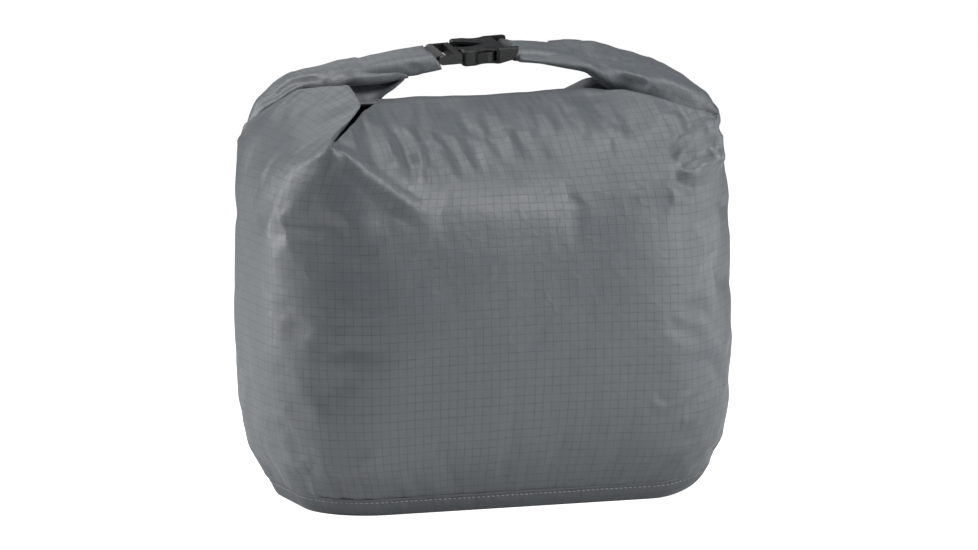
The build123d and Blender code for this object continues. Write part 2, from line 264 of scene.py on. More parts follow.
def solidify(ob, thickness, offset):
    apply_modifier(
        ob, "SOLIDIFY", thickness=thickness * MM, offset=offset, use_even_offset=False
    )


def distance_to_line(co, line, reach):
    """Distance from each point to a polyline, and the fraction along it; far points get 1e6."""
    nearest = np.full(len(co), 1e6)
    fraction = np.zeros(len(co))
    lengths = np.linalg.norm(np.diff(line, axis=0), axis=1)
    inside = (co >= line.min(0) - reach) & (co <= line.max(0) + reach)
    near = np.where(np.all(inside, axis=1))[0]
    p = co[near]
    done = 0.0
    for start, end, length in zip(line, line[1:], lengths):
        t = np.clip(((p - start) @ (end - start)) / length**2, 0, 1)
        gap = np.linalg.norm(p - (start + t[:, None] * (end - start)), axis=1)
        closer = gap < nearest[near]
        index = near[closer]
        nearest[index] = gap[closer]
        fraction[index] = (done + t[closer] * length) / lengths.sum()
        done += length
    return nearest, fraction


def crease(co, normals, stroke, taper):
    """The push along the normals near one stroke. taper: the fractions faded at start and end."""
    kind, width, depth, line = stroke
    fine = spline(line, 40) if len(line) > 2 else np.asarray(line, float)
    distance, along = distance_to_line(co, fine, width * 3.2)
    ends = smooth(along, 0, taper[0]) * (1 - smooth(along, 1 - taper[1], 1))
    x = distance / width
    cut = 1 - smooth(x, 1.6, 2.8)
    if kind == "ridge":
        shape = np.exp(-1.6 * x) * cut - 0.25 * np.exp(-((x - 1.7) ** 2) / 0.4)
    elif kind == "valley":
        shape = -np.exp(-1.4 * x) * cut + 0.3 * np.exp(-((x - 1.6) ** 2) / 0.4)
    else:
        shape = np.exp(-(x**2))
    shape = np.where(x > 3.0, 0, shape)
    return normals * (depth * ends * shape)[:, None]


# ---------------------------------------------------------------- materials
class Nodes:
    """A material with a Principled surface, and short names for building its node tree."""

    def __init__(self, name):
        self.mat = bpy.data.materials.new(name)
        self.mat.use_nodes = True
        self.tree = self.mat.node_tree
        self.tree.nodes.clear()
        output = self.tree.nodes.new("ShaderNodeOutputMaterial")
        self.bsdf = self.tree.nodes.new("ShaderNodeBsdfPrincipled")
        self.tree.links.new(self.bsdf.outputs[0], output.inputs[0])

    def put(self, socket, value):
        if isinstance(value, bpy.types.NodeSocket):
            self.tree.links.new(value, socket)
        elif isinstance(value, tuple) and len(value) == 3 and len(socket.default_value) == 4:
            socket.default_value = (*value, 1.0)
        else:
            socket.default_value = value

    def node(self, kind, inputs, **settings):
        made = self.tree.nodes.new("ShaderNode" + kind)
        for name, value in settings.items():
            setattr(made, name, value)
        for key, value in inputs.items():
            self.put(made.inputs[key], value)
        return made

    def surface(self, **values):
        """Inputs of the Principled shader, with _ for each space in their names."""
        for name, value in values.items():
            self.put(self.bsdf.inputs[name.replace("_", " ")], value)

    def coords(self, kind):
        return self.node("TexCoord", {}).outputs[kind]

    def split(self, vector):
        return self.node("SeparateXYZ", {0: vector}).outputs

    def math(self, op, a, b=0.0):
        return self.node("Math", {0: a, 1: b, 2: 0.0}, operation=op).outputs[0]

    def add(self, a, b):
        return self.math("ADD", a, b)

    def mul(self, a, b):
        return self.math("MULTIPLY", a, b)

    def sub(self, a, b):
        return self.math("SUBTRACT", a, b)

    def centred(self, value, amount):
        """A 0..1 value moved to lie round 0 and scaled by amount."""
        return self.mul(self.sub(value, 0.5), amount)

    def wave(self, value, pitch):
        return self.math("SINE", self.mul(value, 2 * math.pi / pitch))

    def noise(self, vector, scale, detail=2.0, rough=0.5):
        inputs = {"Vector": vector, "Scale": scale, "Detail": detail, "Roughness": rough}
        return self.node("TexNoise", inputs).outputs[0]

    def stretch(self, vector, factors):
        return self.node("VectorMath", {0: vector, 1: factors}, operation="MULTIPLY").outputs[0]

    def shade(self, color, tone):
        """color times tone."""
        return self.node("VectorMath", {0: color, 3: tone}, operation="SCALE").outputs[0]

    def ramp(self, value, span, to=(0.0, 1.0), kind="SMOOTHSTEP"):
        inputs = dict(enumerate((value, *span, *to)))
        return self.node("MapRange", inputs, interpolation_type=kind).outputs[0]

    def linear(self, value, span, to):
        return self.ramp(value, span, to, "LINEAR")

    def mix(self, factor, a, b):
        return self.node("Mix", {0: factor, 6: a, 7: b}, data_type="RGBA").outputs[2]

    def bump(self, height, distance, strength, normal=None):
        inputs = {"Strength": strength, "Distance": distance, "Height": height}
        if normal is not None:
            inputs["Normal"] = normal
        return self.node("Bump", inputs).outputs[0]


def ripstop(name, color, grid=1.0, rough=0.42, crinkle=1.0):
    """Coated plain weave with a thicker thread every 5 mm each way. UVs are mm of cloth.

    grid and crinkle scale the thick threads and the crumples; rough is the mean roughness.
    """
    thick_pitch, thick_half, weave_pitch = 5.0, 0.36, 0.5
    m = Nodes(name)
    uv = m.coords("UV")
    ob = m.coords("Object")
    across, up = m.split(uv)[:2]
    wobble = m.centred(m.noise(uv, scale=0.16, detail=1.0), 0.35)
    u = m.add(across, wobble)
    v = m.add(up, wobble)

    def thick_thread(coord):
        offset = m.sub(m.math("FLOORED_MODULO", coord, thick_pitch), thick_pitch / 2)
        return m.ramp(m.math("ABSOLUTE", offset), (thick_half, thick_half * 0.45))

    lines = m.math("MAXIMUM", thick_thread(u), thick_thread(v))
    # some threads lie deeper than others, so the lines come and go
    patches = m.noise(m.stretch(uv, (0.11, 0.11, 1.0)), scale=1.0)
    fade = m.ramp(patches, (0.36, 0.62), to=(0.55, 1.0))
    lines = m.mul(m.mul(lines, fade), grid)
    # uneven yarn each way, clouds in the coating and fine grain
    warp = m.noise(m.stretch(uv, (2.2, 0.05, 1.0)), scale=1.0, detail=1.0)
    weft = m.noise(m.stretch(uv, (0.05, 2.2, 1.0)), scale=1.0, detail=1.0)
    slub = m.add(warp, weft)
    cloud = m.noise(ob, scale=34.0, detail=3.0)
    fine = m.noise(uv, scale=1.5)
    tone = m.add(m.linear(slub, (0.6, 1.4), to=(0.955, 1.045)), m.centred(cloud, 0.10))
    tone = m.add(tone, m.centred(fine, 0.10))
    tone = m.mul(tone, m.sub(1.0, m.mul(lines, 0.30)))
    gloss = m.linear(cloud, (0.3, 0.7), to=(rough - 0.05, rough + 0.05))
    m.surface(
        Base_Color=m.shade(color, tone),
        Roughness=m.add(gloss, m.mul(lines, 0.08)),
        Specular_IOR_Level=0.85,
        Sheen_Weight=0.12,
        Sheen_Roughness=0.45,
        Sheen_Tint=(0.9, 0.95, 1.0),
    )
    # relief: weave, thick threads, then the small crumples that coated cloth keeps
    weave = m.mul(m.wave(u, weave_pitch), m.wave(v, weave_pitch))
    relief = m.add(m.mul(weave, 0.012), m.mul(lines, 0.05))
    woven = m.bump(relief, distance=MM, strength=0.7)
    small = m.noise(m.stretch(uv, (0.085, 0.11, 1.0)), scale=1.0, detail=3.0, rough=0.55)
    broad = m.noise(m.stretch(uv, (0.035, 0.045, 1.0)), scale=1.0)
    ridge = m.sub(1.0, m.math("ABSOLUTE", m.centred(broad, 6.0)))
    crumples = m.add(m.mul(small, 0.42), m.mul(m.ramp(ridge, (0.55, 1.0)), 0.10))
    height = m.mul(crumples, crinkle)
    m.surface(Normal=m.bump(height, distance=MM, strength=0.8, normal=woven))
    return m.mat


def webbing_material():
    """Chevron ribs. u runs across the webbing and v along it, in mm."""
    rib_pitch, chevron_width, chevron_slant, warp_pitch = 1.25, 1.6, 2.4, 0.8
    m = Nodes("woven_webbing")
    uv = m.coords("UV")
    u, v = m.split(uv)[:2]
    slant = m.mul(m.math("PINGPONG", u, chevron_width), chevron_slant)
    rib = m.math("SINE", m.add(m.mul(v, 2 * math.pi / rib_pitch), slant))
    weave = m.mul(m.add(rib, m.mul(m.wave(u, warp_pitch), 0.6)), 0.5)
    tone = m.linear(weave, (-0.8, 0.8), to=(0.55, 1.35))
    fuzz = m.noise(uv, scale=0.7, detail=3.0)
    tone = m.mul(tone, m.linear(fuzz, (0.3, 0.7), to=(0.8, 1.2)))
    m.surface(
        Base_Color=m.shade((0.030, 0.031, 0.033), tone),
        Roughness=m.linear(weave, (-0.8, 0.8), to=(0.72, 0.55)),
        Sheen_Weight=0.2,
        Normal=m.bump(weave, distance=0.18 * MM, strength=1.0),
    )
    return m.mat


def moulded_plastic(name, color, rough=0.39):
    """Satin from the mould, with smoother edges that are painted lighter, a painted highlight along
    the edges.
    """
    m = Nodes(name)
    ob = m.coords("Object")
    spark = m.noise(ob, scale=2600.0)
    cloud = m.noise(ob, scale=160.0, detail=3.0)
    # edge marks the sharp edges. They get a painted highlight up to 1.7 times lighter, and lower
    # roughness.
    edge = m.ramp(m.node("NewGeometry", {}).outputs["Pointiness"], (0.52, 0.60))
    gloss = m.linear(cloud, (0.35, 0.65), to=(rough - 0.06, rough + 0.08))
    grain = m.add(spark, m.mul(cloud, 0.6))
    m.surface(
        Base_Color=m.mix(m.mul(edge, 0.5), color, tuple(c * 2.4 for c in color)),
        Roughness=m.add(gloss, m.mul(edge, -0.08)),
        Specular_IOR_Level=0.5,
        Normal=m.bump(grain, distance=0.03 * MM, strength=0.8),
    )
    return m.mat


def thread_material(name, color):
    m = Nodes(name)
    twist = m.noise(m.stretch(m.coords("Object"), (1.0, 1.0, 1.0)), scale=2200.0)
    m.surface(
        Base_Color=m.shade(color, m.linear(twist, (0.3, 0.7), to=(0.75, 1.25))),
        Roughness=m.linear(twist, (0.3, 0.7), to=(0.55, 0.75)),
        Sheen_Weight=0.3,
        Normal=m.bump(twist, distance=0.08 * MM, strength=1.0),
    )
    return m.mat


def film_material(name, color):
    """Tape welded over a seam, inside."""
    m = Nodes(name)
    cloud = m.noise(m.coords("Object"), scale=220.0, detail=3.0)
    m.surface(
        Base_Color=m.shade(color, m.linear(cloud, (0.3, 0.7), to=(0.85, 1.15))),
        Roughness=m.linear(cloud, (0.3, 0.7), to=(0.22, 0.4)),
        Normal=m.bump(cloud, distance=0.1 * MM, strength=0.6),
    )
    return m.mat


GREY = (0.117, 0.132, 0.146)
# The binding and the bottom panel are the sack's own ripstop, painted 0.8 times darker: painted shade
# low down by the floor.
SHADED_BINDING_GREY = tuple(c * 0.80 for c in GREY)
mat_cloth = ripstop("ripstop_grey", GREY)
mat_base_shaded = ripstop("ripstop_binding_shaded", SHADED_BINDING_GREY, grid=0.7, rough=0.5, crinkle=1.3)
mat_web = webbing_material()
mat_plastic = moulded_plastic("acetal_black", (0.013, 0.0135, 0.0145))
mat_strip = moulded_plastic("stiffener_black", (0.03, 0.03, 0.032), rough=0.3)
mat_thread = thread_material("thread_grey", (0.34, 0.36, 0.37))
mat_thread_black = thread_material("thread_black", (0.03, 0.03, 0.032))
mat_film = film_material("seam_film", (0.2, 0.21, 0.22))


# ---------------------------------------------------------------- the sack
# Columns run up the tube of cloth, counted from the middle of the front by way of the right end.
N1 = 42  # columns from the middle of a long side to a corner
N2 = 20  # columns from a corner to the middle of a short side
NC = 4 * (N1 + N2)
C_FR, C_RIGHT, C_BR, C_BACK = N1, N1 + N2, N1 + 2 * N2, 2 * (N1 + N2)
C_BL, C_LEFT, C_FL = C_BACK + N1, C_BACK + N1 + N2, C_BACK + N1 + 2 * N2

ROWS_WRAP = np.concatenate([np.linspace(0, 12, 5), np.linspace(16, 172, 40)])  # heights
N_TOP = 9  # rows from the last height to the bend
N_FLAP = 22  # rows from the bend to the flap's edge
N_TUCK = 14  # rows past the edge

# Outline: z, half length to the left, half length to the right, half depth, corner radius
LEVELS = np.array([
    (0, 115, 121.5, 58.5, 37), (6, 118, 127, 61, 39), (12, 121.5, 130.5, 64, 41),
    (30, 130.5, 136, 72.5, 45), (55, 135.4, 138.6, 76.8, 47), (90, 136.9, 139.6, 78.8, 48),
    (120, 137.2, 139.2, 78.6, 48), (148, 136.8, 138.2, 75.8, 44), (172, 136, 136.4, 71.4, 37),
])

# The points of the four upper corners, then the lines between them, all x, y, z.
# An edge is the outer line of a flap; under is where its cloth tucks in past the edge.
TIP_FL, TIP_FR = (-114, -63.5, 212.4), (123.4, -60.5, 221.6)
TIP_BL, TIP_BR = (-125.6, 61.5, 212.2), (124, 61.5, 216)
FRONT_EDGE = [
    TIP_FL, (-110.5, -60, 213.2), (-105.3, -54.5, 215.2), (-95.3, -44, 221), (-79.4, -24, 228.2),
    (-68, -12.5, 231), (-60, -9, 231.6), (-40, -8, 232.3), (-22, -8, 232.7), (0, -8, 233.2),
    (33, -8, 233.4), (60, -8.5, 233.6), (73, -13, 233.6), (81.6, -19, 233.6), (92.8, -30, 231),
    (106.7, -42.5, 226), (114.5, -52, 223.4), TIP_FR,
]
FRONT_UNDER = [
    TIP_FL, (-108, -52, 209), (-92, -34, 214.5), (-76, -14, 222.5), (-64, 8, 229),
    (-50, 20, 230.4), (0, 22, 230.8), (50, 20, 230.8), (66, 8, 230.3), (78, 0, 228.8),
    (92, -8, 226.4), (110, -26, 220.6), (118, -40, 219.4), TIP_FR,
]
BACK_EDGE = [
    TIP_BL, (-114, 51, 216), (-100, 38, 220.6), (-85, 24, 224.6), (-70, 18.5, 225.2),
    (0, 18, 225), (70, 18.5, 225.2), (85, 24, 224.8), (100, 38, 222.4), (113, 51, 219.5), TIP_BR,
]
BACK_UNDER = [
    TIP_BL, (-112, 44, 213.6), (-98, 28, 218.6), (-85, 13, 222.6), (-70, 6, 223.8),
    (0, 4, 223.8), (70, 6, 223.8), (85, 13, 223), (98, 28, 220.4), (111, 44, 216.8), TIP_BR,
]
LEFT_EDGE = [
    TIP_FL, (-110.4, -57, 216.6), (-100.6, -46, 221.4), (-91.9, -38, 225.4),
    (-84.6, -31.5, 230.4), (-82.6, -28, 232.2), (-82.3, -18, 236.4), (-81.8, -5.5, 240.7),
    (-82.6, -3, 241), (-87.1, 6, 239.6), (-93, 16, 238.2), (-101.2, 27.5, 236.4),
    (-103.2, 30.5, 235), (-111.5, 43, 226.6), (-118.9, 52, 219.6), TIP_BL,
]
LEFT_UNDER = [
    TIP_FL, (-107, -50, 213), (-96, -36, 218.5), (-90, -24, 224), (-92, -4, 229),
    (-99, 14, 228.5), (-110, 34, 222), TIP_BL,
]
RIGHT_EDGE = [
    TIP_FR, (126.3, -50, 224.6), (126.6, -36, 228.6), (125.8, -20, 233.4), (124.2, -4, 238.6),
    (122.2, 8, 242), (120.5, 22, 243.6), (121, 34, 240), (122.5, 48, 229), TIP_BR,
]
RIGHT_UNDER = [
    TIP_FR, (121, -40, 221), (118, -10, 232), (114, 14, 238), (118, 40, 226), TIP_BR,
]
# y, z of the front panel over the roll, from the crest to under the roll
OVER_ROLL = [
    (-8, 233.1), (-3, 233.3), (5, 232.2), (12, 231), (15.8, 229.2), (16.6, 227.2),
    (14.4, 225.4), (8, 225),
]
CREST_Z = OVER_ROLL[0][1]

# outward: the sign of the axis the side faces. mid_y, mid_x, mid_z: the bend at the middle of
# the side. lift and swell: the way the flap bulges, and how far at its middle.
FRONT = dict(
    outward=-1, mid_y=66.6, mid_z=190, lift=(0, -0.42, 0.90), swell=3.2,
    edge=FRONT_EDGE, under=FRONT_UNDER,
)
BACK = dict(
    outward=1, mid_y=68, mid_z=190, lift=(0, 0.42, 0.90), swell=6.5,
    edge=BACK_EDGE, under=BACK_UNDER,
)
RIGHT = dict(
    outward=1, mid_x=132, mid_z=207, lift=(1.0, 0, 0.1), swell=2.6,
    edge=RIGHT_EDGE, under=RIGHT_UNDER,
)
LEFT = dict(
    outward=-1, mid_x=131, mid_z=201, lift=(-0.6, 0, 0.8), swell=4.0,
    edge=LEFT_EDGE, under=LEFT_UNDER,
)


def quarter(a, b, r):
    """A quarter of the outline, from (0, b) to (a, 0). Its two runs meet at 45 degrees."""

    def arc(start, end):
        angle = np.radians(np.linspace(start, end, 9))
        return np.stack([a - r + r * np.cos(angle), b - r + r * np.sin(angle)], 1)

    def walk(points, count):
        lengths = arc_length(points)
        return sample(points, lengths, np.linspace(0, lengths[-1], count + 1))

    long_run = walk(np.concatenate([[[0.0, b]], arc(90, 45)]), N1)
    short_run = walk(np.concatenate([arc(45, 0), [[a, 0.0]]]), N2)
    return np.concatenate([long_run[:-1], short_run])


def level(z):
    """Half lengths to the left and right, half depth and corner radius at height z."""
    return tuple(np.interp(z, LEVELS[:, 0], LEVELS[:, i]) for i in (1, 2, 3, 4))


def level_ring(z):
    """The outline at height z as NC points, one for each column."""
    left, right, b, r = level(z)
    east, west = quarter(right, b, r), quarter(left, b, r)
    parts = (east * [1, -1], east[::-1], west * [-1, 1], west[::-1] * [-1, -1])
    return np.column_stack([np.concatenate([part[:-1] for part in parts]), np.full(NC, z)])


def settle(p):
    """The sack stands on the middle of its base; the right end curls up off the floor."""
    x, z = p[..., 0], p[..., 2]
    q = p.copy()
    q[..., 2] = z + 5.0 * smooth(x, 84.0, 128.0) * (1 - smooth(z, 0.0, 60.0))
    return q


def flap_lines(bend, side, key, fraction):
    """Bend, a point on the flap, its edge and its tuck, where column key matches the bend's."""
    bend = np.array(bend, float)
    edge = row_at(side["edge"], key, bend[key])
    under = row_at(side["under"], key, bend[key])
    lift = np.array(side["lift"]) * (side["swell"] * (1 - fraction**2))
    return bend, (bend + edge) / 2 + lift, edge, under


def long_flap(k, left_tip, right_tip, side):
    """k counts the columns from the middle towards the right."""
    f = abs(k) / N1
    tip = right_tip if k >= 0 else left_tip
    mid_y, mid_z = side["mid_y"], side["mid_z"]
    y = side["outward"] * (mid_y - (mid_y - abs(tip[1])) * f**3.4)
    bend = (tip[0] * f, y, mid_z + (tip[2] - mid_z) * f**2.3)
    return flap_lines(bend, side, 0, f)


def short_flap(k, first_tip, last_tip, side):
    """k counts the columns from the middle, negative on the side of the first tip."""
    g = k / N2
    tip = first_tip if g < 0 else last_tip
    mid_x, mid_z = side["mid_x"], side["mid_z"]
    x = side["outward"] * (mid_x - (mid_x - abs(tip[0])) * abs(g) ** 3)
    y = np.interp(g, [-1, 1], [first_tip[1], last_tip[1]])
    return flap_lines((x, y, mid_z + (tip[2] - mid_z) * abs(g) ** 3), side, 1, g)


def column_lines(c):
    """The flap lines of column c, and how much of it goes over the roll."""
    if c <= C_FR or c >= C_FL:
        lines = long_flap(c if c <= C_FR else c - NC, TIP_FL, TIP_FR, FRONT)
        x = lines[0][0]
        return *lines, smooth(x, -66.0, -56.0) * (1 - smooth(x, 66.0, 76.0))
    if c < C_BR:
        return *short_flap(c - C_RIGHT, TIP_FR, TIP_BR, RIGHT), 0.0
    if c <= C_BL:
        return *long_flap(C_BACK - c, TIP_BL, TIP_BR, BACK), 0.0
    return *short_flap(c - C_LEFT, TIP_BL, TIP_FL, LEFT), 0.0


def sack_rows():
    """Points of the whole sack: rows from the base to the tucked cloth, NC columns."""
    wrap = settle(np.stack([level_ring(z) for z in ROWS_WRAP]))
    lead_in = level_ring(150.0), level_ring(164.0)
    top = np.zeros((N_TOP + N_FLAP + N_TUCK, NC, 3))
    t = np.linspace(0, 1, N_TUCK + 1)[1:, None]
    for c in range(NC):
        bend, mid, edge, under, crest = column_lines(c)
        last = wrap[-1][c]
        fine = spline(np.stack([lead_in[0][c], lead_in[1][c], last, bend, mid, edge]), 300)
        lengths = arc_length(fine)
        start = lengths[np.argmin(np.linalg.norm(fine - last, axis=1))]
        at_bend = lengths[np.argmin(np.linalg.norm(fine - bend, axis=1))]
        wanted = np.concatenate([
            np.linspace(start, at_bend, N_TOP + 1)[1:],
            np.linspace(at_bend, lengths[-1], N_FLAP + 1)[1:],
        ])
        top[: N_TOP + N_FLAP, c] = sample(fine, lengths, wanted)
        bulge = unit(edge - mid + 1e-9) * 1.2 * (4 * t * (1 - t))
        tuck = edge * (1 - t) + under * t + bulge
        if crest > 0:
            over = [(edge[0], y, z + edge[2] - CREST_Z) for y, z in OVER_ROLL]
            tuck = tuck * (1 - crest) + even(over, N_TUCK + 1)[1:] * crest
        top[N_TOP + N_FLAP :, c] = tuck
    return np.concatenate([wrap, top])


def column_u():
    """Place of each column round the tube of cloth."""
    long_run = np.linspace(0, LONG_HALF, N1 + 1)[:-1]
    run = np.concatenate([long_run, LONG_HALF + np.linspace(0, SHORT_HALF, N2 + 1)])
    there, back = run[:-1], run[::-1][:-1]
    return np.concatenate([there, TUBE / 2 - back, TUBE / 2 + there, TUBE - back])


def sack_sheet():
    """The sack: a closed tube up to the bend, then four flaps. Its tags are the cloth pins."""
    rows = sack_rows()
    v = arc_length(rows)
    uv = np.stack([np.broadcast_to(column_u(), v.shape), v], 2)
    bend_row = len(ROWS_WRAP) + N_TOP - 1
    edge_row = bend_row + N_FLAP
    pin = np.zeros(rows.shape[:2])
    pin[:3] = 1.0
    pin[3] = 0.7
    pin[edge_row:] = 1.0
    pin[edge_row - 1] = 0.6
    corners = [C_FR, C_BR, C_BL, C_FL]
    pin[bend_row:, corners] = 1.0
    pin[bend_row - 1, corners] = 0.8
    sheet = Sheet()

    def add(first, last, span, flap):
        """Columns first to last of the rows in span; columns past NC start round again."""
        numbers = np.arange(first, last + 1)
        cols = numbers % NC
        points, coords = rows[span][:, cols].copy(), uv[span][:, cols].copy()
        coords[:, numbers >= NC, 0] += TUBE
        if flap:
            # a flap starts at a corner's tip, so its outermost columns are that one point
            points[1:, [0, -1]] = points[0, [0, -1]]
        sheet.grid(points, coords, tags=pin[span][:, cols])

    add(0, NC, slice(0, bend_row + 1), flap=False)
    for first, last in ((C_FL, NC + C_FR), (C_FR, C_BR), (C_BR, C_BL), (C_BL, C_FL)):
        add(first, last, slice(bend_row, None), flap=True)
    return sheet


def inflate(ob, pins):
    """Cloth with air behind it: the panels crown, and spare cloth wrinkles between the pins."""
    frames, stiffness = 20, 15.0
    move_cap = 6.0  # no vertex moves further than this
    rest = get_co(ob)
    pins = np.asarray(pins, float)
    group = ob.vertex_groups.new(name="pins")
    for value in np.unique(pins[pins > 0]):
        group.add([int(i) for i in np.where(pins == value)[0]], float(value), "REPLACE")
    modifier = ob.modifiers.new("cloth", "CLOTH")
    cloth = modifier.settings
    cloth.quality = 6
    cloth.mass = 0.15
    cloth.tension_stiffness = cloth.compression_stiffness = stiffness
    cloth.shear_stiffness = stiffness * 0.6
    cloth.bending_stiffness = 0.5
    cloth.use_pressure = True
    cloth.uniform_pressure_force = 4.0
    cloth.shrink_min = -0.015
    cloth.vertex_group_mass = "pins"
    cloth.pin_stiffness = 2.0
    cloth.effector_weights.gravity = 0.0
    cloth.air_damping = 4.0
    modifier.collision_settings.use_collision = False
    modifier.collision_settings.use_self_collision = False
    modifier.point_cache.frame_start, modifier.point_cache.frame_end = 1, frames
    scene.frame_start, scene.frame_end = 1, frames
    for f in range(1, frames + 1):
        scene.frame_set(f)
    co = get_co(ob.evaluated_get(bpy.context.evaluated_depsgraph_get()))
    ob.modifiers.remove(modifier)
    scene.frame_set(1)
    move = co - rest
    size = np.linalg.norm(move, axis=1, keepdims=True)
    capped = move_cap * np.tanh(size / move_cap)
    set_co(ob, rest + move / np.maximum(size, 1e-9) * capped)


body_sheet = sack_sheet()
body = body_sheet.build("sack_shell", mat_cloth)
inflate(body, body_sheet.tags)

# ---------------------------------------------------------------- wrinkles of the sack
apply_modifier(body, "SUBSURF", levels=1, boundary_smooth="PRESERVE_CORNERS")

# Each: kind, width, depth, points x, y, z
CREASES = [
    # the two hips that run down from the front left corner
    ("ridge", 4.6, 0.7, [TIP_FL, (-121.2, -62, 207.6), (-127.5, -61, 202.4),
                         (-130.4, -60, 195.5), (-131.2, -60, 184)]),
    ("ridge", 5, 3.4, [(-116, -63.5, 213.4), (-107.9, -63, 209.5), (-98.9, -64, 200.4),
                       (-85.8, -68, 187.9), (-71.7, -71, 178.3), (-56.7, -73, 168.7)]),
    ("swell", 9, -2.6, [(-114, -64, 203), (-104, -67, 190), (-90, -71, 176), (-76, -73, 164)]),
    # the upright edges under two corners stand out
    ("swell", 9, 3.2, [(125.4, -60, 214), (126.4, -62, 203), (126.4, -63, 190)]),
    ("swell", 9, 2.2, [(-126.5, 60, 208), (-128.4, 61, 199), (-128.6, 62, 186)]),
    # fan of wrinkles on the front of the top, most of them under the left end of the roll
    ("ridge", 5.5, 2.6, [(-72.6, -38, 224), (-74.5, -47, 217), (-76, -55, 208.4),
                         (-75.1, -66, 197)]),
    ("valley", 4.5, 2.8, [(-67.1, -36, 224.4), (-64.7, -50, 213.1), (-65.2, -65, 197.7)]),
    ("ridge", 2.2, 1.6, [(-68.2, -30, 226.4), (-64.4, -42, 219.2), (-58.6, -53, 209.3)]),
    ("ridge", 3.2, 1.9, [(-54.6, -40, 218), (-56.2, -54, 207.5), (-59.2, -63, 198.4),
                         (-61.6, -70, 188.1)]),
    ("ridge", 3.6, 1.9, [(-45.7, -40, 217.2), (-48, -50, 209.7)]),
    ("ridge", 3.4, 2.1, [(-47.3, -52, 208.1), (-43.1, -60, 199.7), (-39.1, -69, 190.3)]),
    ("valley", 3.6, 2.3, [(-38.6, -42, 214.3), (-34.5, -56, 203.5), (-30.3, -68, 192.1)]),
    ("ridge", 3.8, 1.5, [(2, -38, 217.6), (0.4, -50, 208.5), (0.3, -62, 197.2)]),
    ("valley", 4.2, 1.7, [(5.8, -40, 216.5), (9.6, -50, 208.1), (12.7, -60, 199.7)]),
    ("valley", 4, 0.7, [(-20, -34, 221), (-16, -48, 211)]),
    ("ridge", 6, 0.8, [(44, -30, 224), (47, -48, 211)]),
    ("ridge", 6, 0.9, [(70, -34, 222), (60, -52, 208), (52, -66, 194)]),
    # strong folds that run in from the front right corner
    ("ridge", 4.2, 3, [TIP_FR, (110.3, -64, 214.5), (98.8, -68, 207.8), (93.1, -70, 201.5),
                       (91.9, -73, 193.9)]),
    ("valley", 4.6, 3.6, [(124, -59, 208), (113.2, -66, 203), (101.3, -71, 197),
                          (92, -74, 192.6)]),
    ("ridge", 5.2, 3, [(124, -59, 199), (116.8, -64, 195.4), (105.5, -69, 191.3),
                       (93.1, -73, 188.5)]),
    ("valley", 4.2, 1.9, [(89.4, -74, 188.4), (95.2, -74, 184.4), (104.7, -72, 180.3)]),
    ("ridge", 6, 0.9, [(86, -75, 176), (104, -73, 174)]),
    # shallow folds down the right side of the front
    ("ridge", 5, 1.1, [(84, -79, 112.6), (97.8, -77.5, 105.8), (108, -75, 101.9),
                       (116, -71, 103)]),
    ("valley", 5, 1.1, [(82.5, -79, 105), (96, -77.5, 98.8), (106, -75, 94.2)]),
    ("ridge", 3, 2, [(70.9, -79, 63.8), (80.8, -78.5, 56.6), (90.6, -78, 59), (104.2, -75, 68)]),
    ("valley", 3.4, 1.7, [(95.2, -77.5, 54.4), (106, -74, 62.2), (116, -70, 68)]),
    ("ridge", 3.6, 1.3, [(92.6, -78, 47.4), (103, -75.6, 47.5), (109, -73, 55)]),
    ("ridge", 3.2, 1, [(119, -62, 60), (122, -60, 70), (126, -50, 76)]),
    # lower left of the front, where the corner is pushed in
    ("ridge", 5, 1.6, [(-110, -71, 24), (-98, -74, 33), (-86, -76.5, 38)]),
    ("valley", 3.4, 1.8, [(-112, -68, 17), (-101, -72, 24), (-90, -74.5, 21), (-84, -75, 15)]),
    ("valley", 7, 0.9, [(-118, -62, 64), (-112, -68, 76), (-101, -74, 84)]),
    ("ridge", 6, 0.8, [(-108, -70, 58), (-98, -75, 62)]),
    ("ridge", 8, 0.8, [(-124, -54, 96), (-114, -68, 110)]),
    # left side
    ("valley", 7, 0.8, [(-133, -38, 176), (-136, -14, 168), (-136, 12, 172)]),
    ("ridge", 8, 1.1, [(-128, -46, 40), (-133, -20, 52), (-134, 8, 48)]),
    ("valley", 4, 1.3, [(-118, -58, 34), (-124, -48, 22)]),
    ("valley", 8, 0.8, [(-131, 30, 66), (-134, 8, 84)]),
    # back: folds from both upper corners, across the top and down the panel
    ("ridge", 4.4, 2.6, [TIP_BR, (108, 66, 207), (92, 70, 200)]),
    ("valley", 4.8, 2.6, [(128, 56, 204), (112, 67, 198), (96, 72, 192)]),
    ("ridge", 4.6, 2.4, [TIP_BL, (-110, 66, 205), (-94, 71, 197), (-80, 74, 190)]),
    ("valley", 5, 2.3, [(-126, 56, 200), (-108, 69, 192), (-90, 74, 186)]),
    ("valley", 4.6, 1.7, [(-52, 52, 211), (-56, 64, 199), (-58, 72, 188)]),
    ("ridge", 4.2, 1.5, [(-34, 50, 212), (-31, 62, 202), (-30, 71, 191)]),
    ("valley", 4.6, 1.6, [(30, 52, 211), (36, 64, 200), (37, 72, 188)]),
    ("ridge", 4.6, 1.5, [(58, 50, 212), (64, 63, 200), (66, 72, 189)]),
    ("ridge", 5, 1.4, [(60, 79, 70), (80, 78, 62), (98, 75, 66)]),
    ("valley", 5, 1.3, [(-64, 79, 90), (-84, 78, 82), (-102, 74, 88)]),
    ("ridge", 6, 1.1, [(-40, 77, 34), (-66, 77, 44), (-88, 76, 38)]),
    ("valley", 7, 0.9, [(10, 79, 120), (16, 79, 96), (12, 79, 70)]),
    # right side
    ("valley", 6, 1.2, [(132, -14, 194), (134, 4, 190), (135, 20, 196)]),
    ("ridge", 5, 1.5, [(126, 0, 218), (132, 8, 204), (134, 10, 188)]),
    ("ridge", 7, 1.1, [(131, -36, 60), (134, -12, 70), (134, 14, 62)]),
    ("valley", 8, 0.8, [(134, -20, 120), (136, 4, 112), (135, 26, 120)]),
]


